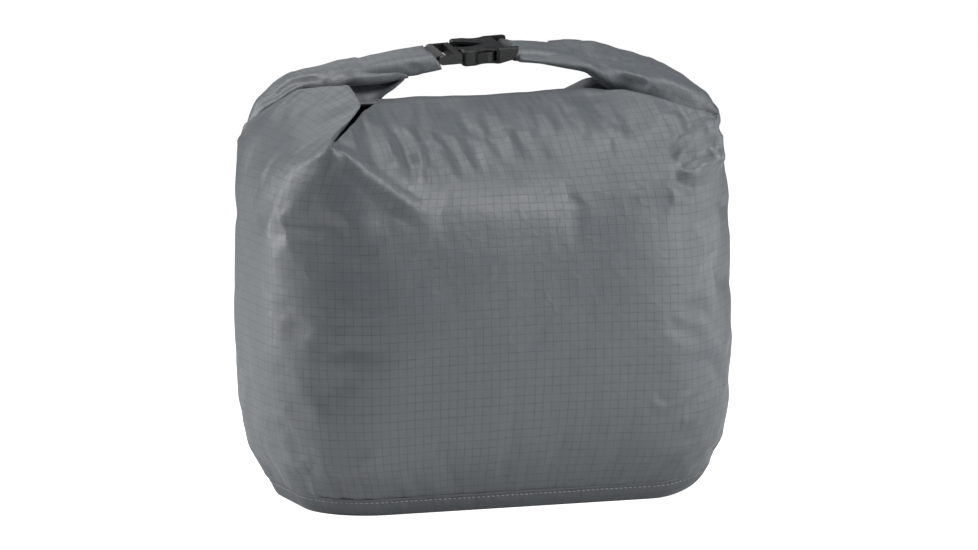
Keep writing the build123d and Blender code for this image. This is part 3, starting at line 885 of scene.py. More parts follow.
def near_corner(x, y, corner_y, spread):
    """1 at the corners of the base, fading away from them."""
    return np.exp(-(((np.abs(x) - 108) / spread) ** 2 + ((np.abs(y) - corner_y) / spread) ** 2))


def wrinkle_sack(ob):
    co, n = get_co(ob), get_normals(ob)
    x, y, z = co.T
    # pleats that the seam round the base gathers, deeper at the corners
    around = np.arctan2(y / 79.0, x / 137.0) * 150
    corner = near_corner(x, y, corner_y=58, spread=24)
    wide_pleats = noise_xyz(around, z * 0.10, 0, scale=7.0, seed=0.1)
    fine_pleats = noise_xyz(around, z * 0.22, 0, scale=3.4, seed=0.7)
    gather = smooth(z, 7.0, 12.0) * np.exp(-np.maximum(z - 11, 0) / (8.0 + 8.0 * corner))
    out = (0.5 + 1.5 * corner) * gather * (0.8 * wide_pleats + 0.55 * fine_pleats)
    # the cloth stands out a little over the seam
    out += 0.9 * smooth(z, 9.0, 13.0) * np.exp(-np.maximum(z - 13, 0) / 9.0)
    # long soft swells in the panels, and the small crumples that stiff coated cloth keeps
    free = smooth(z, 12, 40)
    top = smooth(z, 176, 205)
    swell = noise3(co * [1.0, 1.0, 0.75], scale=46.0, seed=0.3)
    middling = noise3(co * [1.0, 1.0, 0.8], scale=21.0, seed=0.45)
    small = noise3(co * [1.0, 1.0, 0.8], scale=10.0, seed=0.5)
    ridged = 1.0 - 2.0 * np.abs(noise3(co * [1.0, 0.9, 0.7], scale=30.0, seed=0.9))
    crumples = (0.30 + 0.35 * top) * middling + (0.12 + 0.2 * top) * small
    out += free * (0.9 * swell + crumples + 0.25 * ridged)
    push = n * out[:, None]
    for stroke in CREASES:
        push += crease(co, n, stroke, taper=(0.15, 0.25))
    set_co(ob, co + push)


wrinkle_sack(body)


# ---------------------------------------------------------------- rolled ends and lower turns
def loop_grid(stations, around, spacing):
    """A grid skinned over closed loops, and its UVs with the first column again at the end."""
    loops = []
    for pts in np.asarray(stations, float):
        fine = spline(np.concatenate([pts[-3:], pts, pts[:3]]), 900)
        off_start = np.linalg.norm(fine - pts[0], axis=1)
        part = fine[np.argmin(off_start[:450]) : 450 + np.argmin(off_start[450:]) + 1]
        lengths = arc_length(part)
        loops.append(sample(part, lengths, np.linspace(0, lengths[-1], around + 1)[:-1]))
    loops = np.asarray(loops)
    lengths = arc_length(loops.mean(1))
    rows = max(8, int(lengths[-1] / spacing) + 1)
    flat = loops.reshape(len(loops), -1)
    slopes = np.gradient(flat, lengths, axis=0)
    grid = hermite(flat, slopes, lengths, np.linspace(0, lengths[-1], rows))
    grid = grid.reshape(rows, around, 3)
    closed = np.concatenate([grid, grid[:, :1]], 1)
    return grid, np.stack([arc_length(closed.swapaxes(0, 1)).T, arc_length(closed)], 2)


def tube_object(name, stations, around, spacing, uv_start=(0.0, 0.0)):
    grid, uv = loop_grid(stations, around, spacing)
    faces, uvs = ring_faces(len(grid), around, uv + uv_start, flip=True)
    return new_object(name, grid.reshape(-1, 3), faces, uvs, mat_cloth)


def crumple(ob, amount, scale, seed, strokes=()):
    co, n = get_co(ob), get_normals(ob)
    stretched = co * [0.45, 1.0, 1.0]
    broad = noise3(stretched, scale, seed)
    small = noise3(stretched, scale * 0.45, seed + 0.37)
    push = n * (amount * (0.65 * (1.0 - 2.0 * np.abs(broad)) - 0.25 + 0.4 * small))[:, None]
    for stroke in strokes:
        push += crease(co, n, stroke, taper=(0.1, 0.15))
    set_co(ob, co + push)


def stations_at(loops):
    return [[(x, y, z) for y, z in loop] for x, loop in loops.items()]


# Stations run along the roll. Each goes round it, as x, y, z: front low, front, its upper
# front, the top at the back, the back, and underneath.
RIGHT_SLEEVE = [
    [(121.6, -48, 219), (124.6, -55, 221.6), (127, -40, 228.6), (126.2, -13, 235.8),
     (124.2, 4, 240.4), (122.2, 20, 242.8), (122.8, 36, 238.4), (124.6, 60, 217),
     (121.2, 25, 226), (120.6, -20, 222)],
    [(118.4, -38, 217.5), (123.2, -48.5, 222.6), (126.8, -38, 229.6), (125.2, -8, 237.8),
     (123, 8, 242.2), (121, 24, 244), (121.8, 38, 238.5), (124, 59, 218.5), (119, 25, 217),
     (118, -20, 215.5)],
    [(109.4, -24, 216.6), (114, -36.5, 223.2), (118.6, -33, 231.6), (117.6, -4, 241.2),
     (116.6, 12, 244.8), (116, 27, 246.8), (116, 38, 241.5), (116, 51, 223), (114, 22, 219),
     (112, -14, 216)],
    [(103.4, -13, 218.4), (106.6, -26, 227), (110.4, -25, 235.4), (109, 1, 243.8),
     (107.4, 13, 247.2), (106, 27, 250.4), (106, 35, 246), (106, 43, 229.5), (105, 20, 222),
     (105, -8, 219)],
    [(92.8, -2, 224), (94.2, -13.6, 230.6), (97, -16, 238.6), (96, 2, 245), (95, 12, 247.8),
     (93.4, 26, 254.2), (94, 34, 249), (95, 39, 236), (94, 16, 227.5), (94, -2, 225)],
    [(84.6, 2, 230), (86, -7, 235.2), (86.8, -8, 241), (86, 2.4, 246.4), (85.2, 11, 247.6),
     (85.4, 25, 256.8), (85, 32, 251), (85, 36, 241), (84, 18, 234), (84.6, 4, 231)],
    [(76, 1, 234.8), (76.4, -5.6, 238), (76, -4.6, 243.2), (75.6, 1.4, 247.8), (75, 9, 248),
     (77, 24, 258.8), (76, 30, 253), (75, 32, 245), (75, 18, 239), (75.6, 6, 236.4)],
    [(66, -1.6, 243.2), (66, -4.2, 245.6), (66.2, -2.4, 248.6), (66.2, 1.4, 249.9),
     (66.6, 7, 248.8), (68.4, 24, 259.2), (67.4, 29, 255.4), (66.4, 30, 249), (66, 17, 244.8),
     (66, 5, 242.9)],
    [(55, -2, 246), (55, -4.2, 248), (55.4, -2.6, 250.2), (55.8, 0.4, 251.3), (57.8, 6, 249.6),
     (62, 23, 259.6), (61, 27.5, 256.6), (60, 27, 251), (58, 16, 247.4), (55.6, 4, 245.7)],
    [(37, -1.4, 248.9), (37, -3.4, 250.2), (37.6, -1.8, 252), (38.4, 0.8, 252.7),
     (44.4, 6, 250.9), (55, 22.5, 259.6), (54.6, 26.6, 256.8), (52.6, 26.2, 251.8),
     (46, 15, 248.9), (40, 4, 248.2)],
    [(22.2, -1, 251.4), (22.2, -2.6, 252.4), (23.2, -0.8, 253.9), (25.6, 1.6, 254.2),
     (34, 5.6, 252.9), (49.4, 21.9, 259.5), (49.4, 26.2, 256.8), (46.4, 25.7, 252),
     (38, 14, 249.9), (28, 4, 249.9)],
]
LEFT_SLEEVE = [
    [(-120, 59.4, 208.6), (-120.8, 59, 210), (-121.5, 60.3, 211.1), (-122.3, 61.7, 211.4),
     (-123, 63.1, 210.8), (-123.4, 64.1, 209.8), (-123.2, 64.1, 208.4), (-121.7, 63.1, 207.3),
     (-120.2, 61, 207), (-119.6, 60, 207.6)],
    [(-114.6, 55, 216.4), (-116.6, 53.8, 221), (-117.2, 57.3, 223.7), (-117.4, 60.1, 225.1),
     (-117.3, 62.9, 225.5), (-117.5, 64.9, 224.3), (-117.4, 66, 219.8), (-116.2, 64.1, 213.1),
     (-115.6, 58.4, 211.6), (-114.4, 56.4, 213.4)],
    [(-107.4, 48, 221.6), (-109.6, 45.6, 228.2), (-110.1, 50.1, 230.5), (-110.3, 53.4, 233.4),
     (-110.3, 57, 235), (-110.5, 59.8, 234), (-110.9, 61.5, 228.4), (-110.3, 59.1, 219.3),
     (-109.8, 50.6, 216.4), (-108, 48.8, 218)],
    [(-100.6, 40, 227.4), (-103, 38, 235), (-103.7, 42.7, 237.7), (-103.5, 45.4, 240.8),
     (-103.5, 49.2, 242.2), (-103.7, 53.2, 241), (-103.9, 56.1, 235), (-102.9, 52.7, 225.3),
     (-102.4, 43.4, 222.4), (-101, 41, 223.8)],
    [(-94, 31, 232), (-96, 29, 239), (-97.4, 32.7, 241.5), (-97.1, 34.9, 244.6),
     (-97.2, 38.8, 246.3), (-97.2, 44.4, 245.3), (-97.1, 48.2, 239.3), (-96.2, 44.9, 230.9),
     (-95.4, 36, 228), (-94.2, 32.6, 229)],
    [(-86, 17, 234), (-87.4, 17.6, 240.4), (-88.3, 20, 243.8), (-88.3, 23.9, 247.4),
     (-88.4, 29, 249.7), (-88.4, 34.8, 248.9), (-88.2, 38.6, 244.3), (-87.9, 36.2, 237.2),
     (-87.4, 28, 233.4), (-86.4, 21, 232.6)],
    [(-76, 4.4, 239.6), (-76.8, 3.6, 243.6), (-77.4, 7.4, 247.6), (-77.8, 14.4, 250.6),
     (-78.2, 22, 252.7), (-78.2, 28, 252.2), (-78, 31.8, 248.4), (-77.5, 30, 243.2),
     (-77, 22, 239.8), (-76.4, 12, 238.8)],
    [(-60, 1.8, 241), (-62, 0.7, 244.8), (-65.4, 6, 249.2), (-68.6, 13, 252),
     (-71.6, 21, 253.2), (-73.4, 27, 252.9), (-72.6, 30.6, 249.6), (-70.4, 29.6, 245.4),
     (-66, 20, 242), (-62, 10, 240.6)],
    [(-44.3, 1, 243.7), (-45.6, 0, 245.7), (-51.2, 4.8, 249.8), (-59.2, 11.4, 252.5),
     (-65.8, 19, 253.6), (-69.2, 25.5, 253.8), (-66.4, 30, 251.2), (-60.4, 28.5, 247.6),
     (-54, 18, 244), (-47, 8, 242.6)],
]
LEFT_CUFF = [
    [(-76, 4.5, 243), (-76, 5, 245.4), (-76, 7, 248), (-76, 15, 251.2), (-76, 24.5, 251.6),
     (-76, 27, 248.6), (-76, 22, 243.4), (-76, 11, 242)],
    [(-57, 3.2, 243.8), (-57.6, 1.8, 246.8), (-58.4, 3.4, 250.6), (-58.4, 13, 254.6),
     (-58, 22.5, 255.4), (-58, 26.8, 252.8), (-58, 21.5, 247.6), (-57.4, 11, 244.4)],
    [(-42, 0.4, 244.6), (-43, -1, 248), (-44.6, 1, 252.8), (-46.6, 11, 256.4),
     (-48, 20.6, 257.4), (-48, 24.8, 255.2), (-46, 19.6, 249.4), (-43, 9, 245.8)],
    [(-32, -1, 246.4), (-32.8, -1.8, 249.8), (-34.2, 0.2, 254.6), (-35.2, 11, 258),
     (-34.6, 21.2, 258.9), (-34.6, 24, 256.6), (-33.4, 18.8, 251.4), (-32.4, 7.8, 247.8)],
    [(-25.2, -2.8, 248.1), (-26.4, -2.2, 251.2), (-28.6, 0.2, 255.2), (-30.2, 11, 258.4),
     (-29.2, 21, 259.6), (-29.4, 23.6, 257.8), (-28, 18, 253), (-26.6, 7, 249.6)],
]
RIGHT_CUFF = [
    [(60, 3, 248.6), (60, 3, 250.6), (60, 7, 253.4), (60, 14, 255.6), (60, 20, 256.4),
     (60, 23.6, 254.4), (60, 19, 250.6), (60, 8, 248.4)],
    [(48, 2, 249.6), (48, 1.2, 252), (48, 2.6, 254.8), (48, 12, 257.4), (48, 21, 259),
     (48, 24.6, 257), (48, 20, 252.6), (48, 9, 249.8)],
    [(34, 0.8, 250.6), (34, -0.2, 253.6), (34, 1.4, 257), (34, 12, 258.8), (34, 21, 260.4),
     (34, 24.4, 258.4), (34, 20, 253.8), (34, 8, 250.8)],
    [(21, 0.2, 251.8), (20.8, -0.8, 254.6), (20.6, 0.8, 258), (20.6, 11.6, 259.6),
     (20.8, 20.4, 260.8), (21.2, 23.4, 259), (21.6, 19.6, 254.8), (21.4, 8.6, 251.8)],
]
# The lower turns, whose stations are upright: x, then y, z round the loop
LEFT_LOWER = stations_at({
    -45.6: [(5, 242.2), (4.6, 242.9), (7, 243.6), (10, 244.4), (12, 244.2), (11, 242.8),
            (8, 241.9), (6, 241.8)],
    -51: [(5.2, 237.9), (5, 239.2), (8, 240.6), (14, 243.6), (18, 243.4), (16, 239.2),
          (11, 237), (7, 236.9)],
    -57: [(6, 233.4), (5.6, 235.6), (9, 238), (17, 243.6), (24, 243.4), (24, 236.2),
          (15, 232.4), (9, 232)],
    -63: [(6, 229.4), (6.2, 233.8), (9.6, 237.3), (19, 243.6), (27, 243.4), (29, 233.6),
          (19, 228), (9, 226.6)],
    -72: [(5, 226), (6.8, 233), (10.4, 237), (21, 243.2), (30, 242.4), (33, 232),
          (21, 224), (9, 223.2)],
    -84: [(7, 226.5), (10, 232), (15, 236), (25, 240.6), (34, 239.4), (38, 228),
          (26, 221.6), (12, 222.4)],
    -98: [(20, 223.5), (24, 228), (30, 232.6), (37, 234.6), (42, 231), (44, 223.5),
          (35, 217.6), (25, 218)],
    -110: [(40, 217), (42.5, 219.6), (46, 222), (50, 222.4), (53, 219.6), (53, 216.2),
           (48, 213.8), (43, 214)],
})
RIGHT_LOWER = stations_at({
    58: [(12, 229.2), (11.8, 229.9), (14, 230.6), (20, 230.8), (26, 230.2), (28, 228.6),
         (22, 227.6), (15, 228.2)],
    65: [(8.8, 229.8), (8.4, 230.8), (11, 232.2), (19, 233), (28, 232.4), (31, 229.6),
         (23, 226.8), (13, 226.6)],
    76: [(7.6, 231), (7.4, 234.6), (11, 236.8), (20, 237.6), (30, 236.2), (34, 231.6),
         (25, 225.6), (13, 225.6)],
    88: [(6, 231), (6, 235.4), (11, 238.4), (21, 238.4), (32, 235.6), (37, 229),
         (26, 223.6), (13, 224.4)],
    102: [(4, 227.6), (4.6, 232.6), (10, 236), (21, 236.6), (33, 232.6), (41, 225.8),
          (27, 219.8), (12, 220.8)],
    114: [(14, 223), (15, 226), (20, 228), (28, 228), (36, 225.4), (42, 220.6),
          (32, 217), (20, 217.6)],
})

# Strokes: kind, width, depth, points x, y, z
LEFT_STROKES = [
    ("valley", 3, 0.9, [(-82, 6, 246.2), (-70, 2.2, 247.2), (-58, 2.6, 247.4),
                        (-50, 3.4, 247.8)]),
    ("ridge", 2.6, 0.9, [(-88, 20, 249), (-76, 14, 251), (-66, 9.4, 250.6), (-57, 6.8, 250.4)]),
    ("ridge", 2.6, 0.6, [(-110, 50.6, 231.2), (-103, 43.6, 238.7), (-96.6, 33.1, 242.5),
                         (-89.5, 21, 244.8)]),
    ("valley", 2.6, 0.7, [(-111, 48.8, 228.6), (-104, 41.8, 236.1), (-97.3, 31.9, 239.7),
                          (-89.7, 19.9, 241.7)]),
    ("valley", 3.4, 0.6, [(-101, 46.4, 243.4), (-90, 32.6, 249.2), (-79.5, 23.4, 252.4)]),
    ("ridge", 2, 0.9, [(-60, 4, 247.6), (-54, 5, 249), (-50, 4, 249.4)]),
]
RIGHT_STROKES = [
    ("valley", 2.4, 1.2, [(112, 4, 243.4), (98, 6.6, 245.6), (84, 8, 247), (72, 7, 248.6),
                          (58, 5, 249.6), (40, 4.4, 251)]),
    ("valley", 2.6, 1.7, [(26, 1.8, 253.6), (38, 1.6, 252.6), (50, 1, 251.6),
                          (62, 0.6, 250.4)]),
    ("swell", 5, 1.1, [(108, -26, 235), (98, -12, 240), (90, -3, 242.6)]),
    ("valley", 2.8, 1.7, [(101, -13, 237.4), (92, -9, 241), (84, -5.5, 242.4)]),
    ("ridge", 2.8, 1.3, [(97, -17, 235), (88, -12, 237.6), (80, -8.6, 239.2)]),
    ("valley", 3.2, 1.4, [(116, -46, 226), (108, -36, 229.4), (98, -27, 232)]),
    ("ridge", 2.4, 0.8, [(86, 1, 245.6), (78, -1.6, 246.4), (70, -2.6, 247.2)]),
    ("valley", 2.4, 1.1, [(64, 12, 254.2), (56, 13.4, 256), (50, 13, 256.6)]),
    ("ridge", 2.8, 0.9, [(74, 17, 256.4), (64, 17, 257.6), (56, 18, 258.6)]),
    ("valley", 2.8, 0.8, [(92, 13, 249), (80, 13, 251.6), (70, 13.6, 254)]),
    ("ridge", 3, 0.7, [(118, -4, 242), (110, 10, 246.2), (104, 20, 250)]),
]
LEFT_CUFF_STROKES = [
    ("valley", 2.4, 1, [(-50, 6, 252), (-43, 1, 249), (-36, -1, 248)]),
    ("ridge", 2.4, 0.8, [(-46, 8, 253.6), (-38, 4, 252.4), (-31, 2, 251.6)]),
]

sleeve_left = tube_object("sleeve_left", LEFT_SLEEVE, 72, 1.5, uv_start=(3.0, 231.0))
sleeve_right = tube_object("sleeve_right", RIGHT_SLEEVE, 90, 1.5, uv_start=(1.5, 231.0))
cuff_left = tube_object("cuff_left", LEFT_CUFF, 52, 1.3, uv_start=(0.0, 2.0))
cuff_right = tube_object("cuff_right", RIGHT_CUFF, 48, 1.4, uv_start=(0.0, 1.0))
lower_left = tube_object("roll_turn_left", LEFT_LOWER, 52, 1.5)
lower_right = tube_object("roll_turn_right", RIGHT_LOWER, 52, 1.5)
crumple(sleeve_left, amount=0.55, scale=13.0, seed=0.11, strokes=LEFT_STROKES)
crumple(sleeve_right, amount=0.7, scale=15.0, seed=0.23, strokes=RIGHT_STROKES)
crumple(cuff_left, amount=0.3, scale=9.0, seed=0.31, strokes=LEFT_CUFF_STROKES)
crumple(cuff_right, amount=0.3, scale=9.0, seed=0.41)
crumple(lower_left, amount=0.5, scale=9.0, seed=0.53)
crumple(lower_right, amount=0.5, scale=9.0, seed=0.61)


def inner_strip(name, stations):
    """The flexible strip inside a rolled end: it follows the middle of the roll."""
    share, half_max, count = 0.36, 8.0, 60  # half width as a share of the roll, and its limit
    loops = np.asarray(stations, float)
    across = (loops[:, 5] + loops[:, 6]) / 2 - (loops[:, 0] + loops[:, 1]) / 2
    size = np.linalg.norm(across, axis=1, keepdims=True)
    middle = spline(loops.mean(1), count)
    half = spline(across / size * np.minimum(size * share, half_max), count)
    points = np.stack([middle + half * t for t in np.linspace(-1, 1, 9)], 1)
    ob = sheet_object(name, points, points[:, :, :2], mat_strip)
    solidify(ob, thickness=0.8, offset=0.0)
    return ob


strip_left = inner_strip("strip_left", LEFT_SLEEVE[3:8])
strip_right = inner_strip("strip_right", RIGHT_SLEEVE[2:8])


# ---------------------------------------------------------------- the roll between its ends
def spiral_roll(name, x0, x1, centre, tilt, half_wide, half_thick, turns):
    """The mouth, wound up on itself and pressed flat. centre is y, z."""
    count = int(turns * 40)
    turn = np.linspace(0, turns, count + 1)
    angle = 2 * np.pi * turn + math.radians(200)
    wide = half_wide * (1 - 0.12 * turn) * np.cos(angle)
    thick = half_thick * (1 - 0.27 * turn).clip(0.12, 1) * np.sin(angle)
    y = centre[0] + wide * math.cos(tilt) + thick * math.sin(tilt)
    z = centre[1] - wide * math.sin(tilt) + thick * math.cos(tilt)
    xs = np.linspace(x0, x1, int(abs(x1 - x0) / 2.5) + 1)
    sags = 0.3 * noise_xyz(xs, 0, 0, scale=22.0, seed=0.2)
    points = np.stack([
        np.column_stack([np.full(count + 1, x), y + sag, z + sag * 0.5])
        for x, sag in zip(xs, sags)
    ])
    wound = arc_length(np.column_stack([y, z]))
    uv = np.stack(np.meshgrid(xs, wound, indexing="ij"), 2)
    return sheet_object(name, points, uv, mat_cloth)


roll = spiral_roll(
    "mouth_roll", x0=-86.0, x1=90.0, centre=(4.0, 228.6), tilt=math.radians(7.0),
    half_wide=10.8, half_thick=2.7, turns=2.6,
)


# ---------------------------------------------------------------- base: binding, panel, stitches
def outline_at(left, right, b, r, count):
    """Even points round the outline from the middle of the front, outward normals, lengths."""
    points, normals = [], []
    for side_x, side_y, start in ((1, -1, -90), (1, 1, 0), (-1, 1, 90), (-1, -1, 180)):
        a = right if side_x > 0 else left
        angle = np.radians(np.linspace(start, start + 90, 40))
        normal = np.column_stack([np.cos(angle), np.sin(angle)])
        points.append(np.array([side_x * (a - r), side_y * (b - r)]) + r * normal)
        normals.append(normal)
    middle = points[0][:1] * [0, 1]
    points = np.concatenate([middle, *points, middle])
    normals = np.concatenate([[[0, -1]], *normals, [[0, -1]]])
    lengths = arc_length(points)
    wanted = np.linspace(0, lengths[-1], count + 1)[:-1]
    return sample(points, lengths, wanted), unit(sample(normals, lengths, wanted)), wanted


BAND_COUNT = 860
STITCH_Z = 8.1
# Section of the binding: offset outward from the sack's outline, z
BAND = np.array([
    (-8, 1), (-6.5, 0.35), (-3, 0.05), (-1, 0), (0.3, 0.15), (1, 0.7), (1.35, 1.8), (1.5, 3.4),
    (1.45, 5), (1.3, 6.4), (1, 7.4), (0.75, STITCH_Z), (0.95, 8.8), (1.1, 9.5), (0.95, 10.1),
    (0.5, 10.5), (-0.2, 10.5), (-0.9, 9.9),
])


def band_ripple(along, z, corner):
    """The binding puckers between its stitches, more at the corners."""
    broad = noise_xyz(along, z * 0.25, 0, scale=5.2, seed=0.2)
    small = noise_xyz(along, z * 0.3, 0, scale=2.6, seed=0.6)
    return (0.30 + 0.55 * corner) * smooth(z, 1.2, 4.0) * (0.7 * broad + 0.5 * small)


def make_band():
    rows = []
    for offset, z in BAND:
        p, normal, lengths = outline_at(*level(z), BAND_COUNT)
        if not rows:
            along = lengths
        corner = near_corner(p[:, 0], p[:, 1], corner_y=56, spread=22)
        xy = p + normal * (offset + band_ripple(along, z, corner))[:, None]
        wave = 0.35 * noise_xyz(along, 0, 0, scale=14.0, seed=0.9) * smooth(z, 6.0, 9.0)
        rows.append(np.column_stack([xy, np.maximum(z + wave, 0.0)]))
    rows = settle(np.stack(rows))
    closed = np.append(along, along[-1] + (along[1] - along[0]))
    uv = np.stack(np.meshgrid(closed, arc_length(BAND)), 2)
    faces, uvs = ring_faces(len(rows), BAND_COUNT, uv)
    return new_object("binding_cloth", rows.reshape(-1, 3), faces, uvs, mat_base_shaded), rows


def make_base_cloth():
    """The bottom panel: rings shrinking to a vertex in the middle."""
    inset, around = 6.0, 240
    left, right, b, r = level(1.0)
    p = outline_at(left - inset, right - inset, b - inset, r - inset, around)[0]
    rows = []
    for t in np.concatenate([[1.0], np.linspace(0.97, 0.0, 26)[:-1]]):
        x, y = (p * t).T
        dents = 0.35 * noise_xyz(x, y, 0, scale=26.0, seed=0.4) * smooth(1 - t, 0.0, 0.15)
        rows.append(settle(np.column_stack([x, y, 1.25 + 0.5 * (1 - t) + dents])))
    rows = np.array(rows)
    uv = np.concatenate([rows, rows[:, :1]], 1)[:, :, :2]
    faces, uvs = ring_faces(len(rows), around, uv, flip=True)
    centre = len(rows) * around
    start = centre - around
    for c in range(around):
        faces.append([start + c, centre, start + (c + 1) % around])
        uvs += [uv[-1, c], np.zeros(2), uv[-1, c + 1]]
    verts = np.concatenate([rows.reshape(-1, 3), [[0, 0, 1.75]]])
    return new_object("base_cloth", verts, faces, uvs, mat_base_shaded)


def thread_ring(centre, out, side, radius, sides):
    angles = [2 * math.pi * j / sides for j in range(sides)]
    return [centre + (out * math.cos(a) + side * math.sin(a)) * radius for a in angles]


def stitches(name, centres, along, out, length, radius, twist):
    """A row of thread floats: each rises from one needle hole and goes down at the next."""
    # place along the float from -1 to 1, relative radius, lift
    profile = [
        (-1, 0.15, -0.55), (-0.86, 0.7, -0.1), (-0.45, 1, 0.25), (0, 1, 0.35),
        (0.45, 1, 0.25), (0.86, 0.7, -0.1), (1, 0.15, -0.55),
    ]
    sides = 6
    one = ring_faces(len(profile), sides)[0]
    one.append(list(range(sides))[::-1])
    one.append([(len(profile) - 1) * sides + j for j in range(sides)])
    verts, faces = [], []
    along, out = unit(along), unit(out)
    along = unit(along + unit(np.cross(along, out)) * twist)
    across = unit(np.cross(along, out))
    for centre, ahead, up, side in zip(centres, along, out, across):
        base = len(verts)
        for t, size, lift in profile:
            middle = centre + ahead * (t * length / 2) + up * (lift * radius * 1.6)
            verts += thread_ring(middle, up, side, radius * size, sides)
        faces += [[base + i for i in face] for face in one]
    return new_object(name, verts, faces, None, mat_thread)


def base_stitches(band_rows):
    line = band_rows[list(BAND[:, 1]).index(STITCH_Z)]
    closed = np.concatenate([line, line[:1]])
    lengths = arc_length(closed)
    total = lengths[-1]
    count = int(total / STITCH_PITCH)
    wanted = (np.arange(count) + 0.5) * total / count
    at = sample(closed, lengths, wanted)
    ahead = sample(closed, lengths, (wanted + 0.8) % total)
    along = ahead - sample(closed, lengths, (wanted - 0.8) % total)
    outward = unit(np.cross(unit(along), [0, 0, 1.0]))
    return stitches(
        "base_stitches", at + outward * 0.12, along, outward, length=2.25, radius=0.30, twist=0.12
    )


binding, band_rows = make_band()
base_cloth = make_base_cloth()
base_thread = base_stitches(band_rows)

# ---------------------------------------------------------------- flat-felled seam up the back
body_tree = tree_of(body)


def on_back(x, z):
    """The point on the back of the sack at x, z, and its normal."""
    hit, normal, _, _ = body_tree.ray_cast(Vector((x, 130.0, z)), Vector((0, -1, 0)))
    n = np.array(normal)
    return np.array(hit), n if n[1] > 0 else -n


# Section of the seam: x, height over the cloth. Stitches lie in the two grooves at x = -4 and 4.
SEAM = np.array([
    (-6.4, -0.5), (-6.1, 0.35), (-5.6, 0.8), (-4.7, 0.72), (-4, 0.5), (-3.3, 0.72),
    (-1.6, 0.85), (0, 0.9), (1.6, 0.85), (3.3, 0.72), (4, 0.5), (4.7, 0.72), (5.6, 0.8),
    (6.1, 0.35), (6.4, -0.5),
])
SEAM_GROOVES = (4, 10)


def back_seam_pieces():
    heights = np.arange(10.4, 204.2, 1.3)
    probes = (-6, -3, 0, 3, 6)
    rows, normals = [], []
    for z in heights:
        hits = [on_back(x, z) for x in probes]
        curve = np.polyfit(probes, [hit[1] for hit, _ in hits], 2)
        n = unit(np.mean([normal for _, normal in hits], axis=0) * [0, 1, 1])
        pucker = 0.16 * noise_xyz(z, 0, 0, scale=3.0, seed=0.3)[0]
        drift = 0.25 * noise_xyz(z, 5.0, 0, scale=30.0, seed=0.3)[0]
        rows.append([
            np.array([x + drift, np.polyval(curve, x), z])
            + n * (height + (pucker if abs(x) < 6 else 0))
            for x, height in SEAM
        ])
        normals.append(n)
    points, normals = np.array(rows), np.array(normals)
    uv = np.stack(np.meshgrid(SEAM[:, 0] + 1.2, heights + 2.0), 2)
    seam = sheet_object("felled_seam", points, uv, mat_cloth, flip=True)
    at, along, out = [], [], []
    for groove in SEAM_GROOVES:
        line = points[:, groove]
        lengths = arc_length(line)
        wanted = np.arange(2.0, lengths[-1] - 1.5, STITCH_PITCH)
        at.append(sample(line, lengths, wanted))
        along.append(sample(line, lengths, wanted + 1) - sample(line, lengths, wanted - 1))
        out.append(sample(normals, lengths, wanted))
    at, along, out = (np.concatenate(part) for part in (at, along, out))
    out = unit(out)
    thread = stitches(
        "back_stitches", at + out * 0.12, along, out, length=2.2, radius=0.28, twist=0.1
    )
    return seam, thread


def tape_pieces():
    """Tape inside, over the seam round the base and up the seam at the back."""
    around = 300
    rows = []
    for z in np.linspace(2.4, 16.0, 8):
        p, normal, _ = outline_at(*level(z), around)
        rows.append(settle(np.column_stack([p - normal * 1.9, np.full(around, z)])))
    verts = np.concatenate(rows)
    faces = ring_faces(len(rows), around)[0]
    round_base = new_object("base_tape_film", verts, faces, None, mat_film)
    points = []
    for z in np.arange(17.5, 203.5, 2.0):
        hits = [on_back(float(x), float(z)) for x in np.linspace(-11, 11, 9)]
        points.append([hit - n * 1.3 for hit, n in hits])
    points = np.array(points)
    return round_base, sheet_object("back_tape_film", points, points[:, :, [0, 2]], mat_film)


felled, back_thread = back_seam_pieces()
base_tape, back_tape = tape_pieces()

# ---------------------------------------------------------------- webbing and bar-tacks
# The buckle's frame: X along the webbing, Y across it, N out of its face
ROLL_TILT, LEAN = math.radians(3.0), math.radians(12.0)
LOOP_O = np.array([-1.0, 12.0, 256.2])
LOOP_X = np.array([math.cos(ROLL_TILT), 0.0, math.sin(ROLL_TILT)])
LOOP_N = np.array([
    -math.sin(ROLL_TILT) * math.cos(LEAN), -math.sin(LEAN), math.cos(ROLL_TILT) * math.cos(LEAN)
])
LOOP_Y = np.cross(LOOP_N, LOOP_X)
TIP_X, TIP_Z = 33.0, -1.0  # where the webbing leaves the rolled end
TURN = 2.0 + 0.55  # radius of the webbing's middle round the buckle's bar
# Each: name, sign of x, slope down into the rolled end in degrees, x of the bar
LOOP_SIDES = (("left", -1, 8.5, -22.5), ("right", 1, 13.5, 21.5))


def loop_point(x, y, z):
    """Sack coordinates of points in the buckle's frame."""
    pairs = ((x, LOOP_X), (y, LOOP_Y), (z, LOOP_N))
    return LOOP_O + sum(np.multiply.outer(value, axis) for value, axis in pairs)


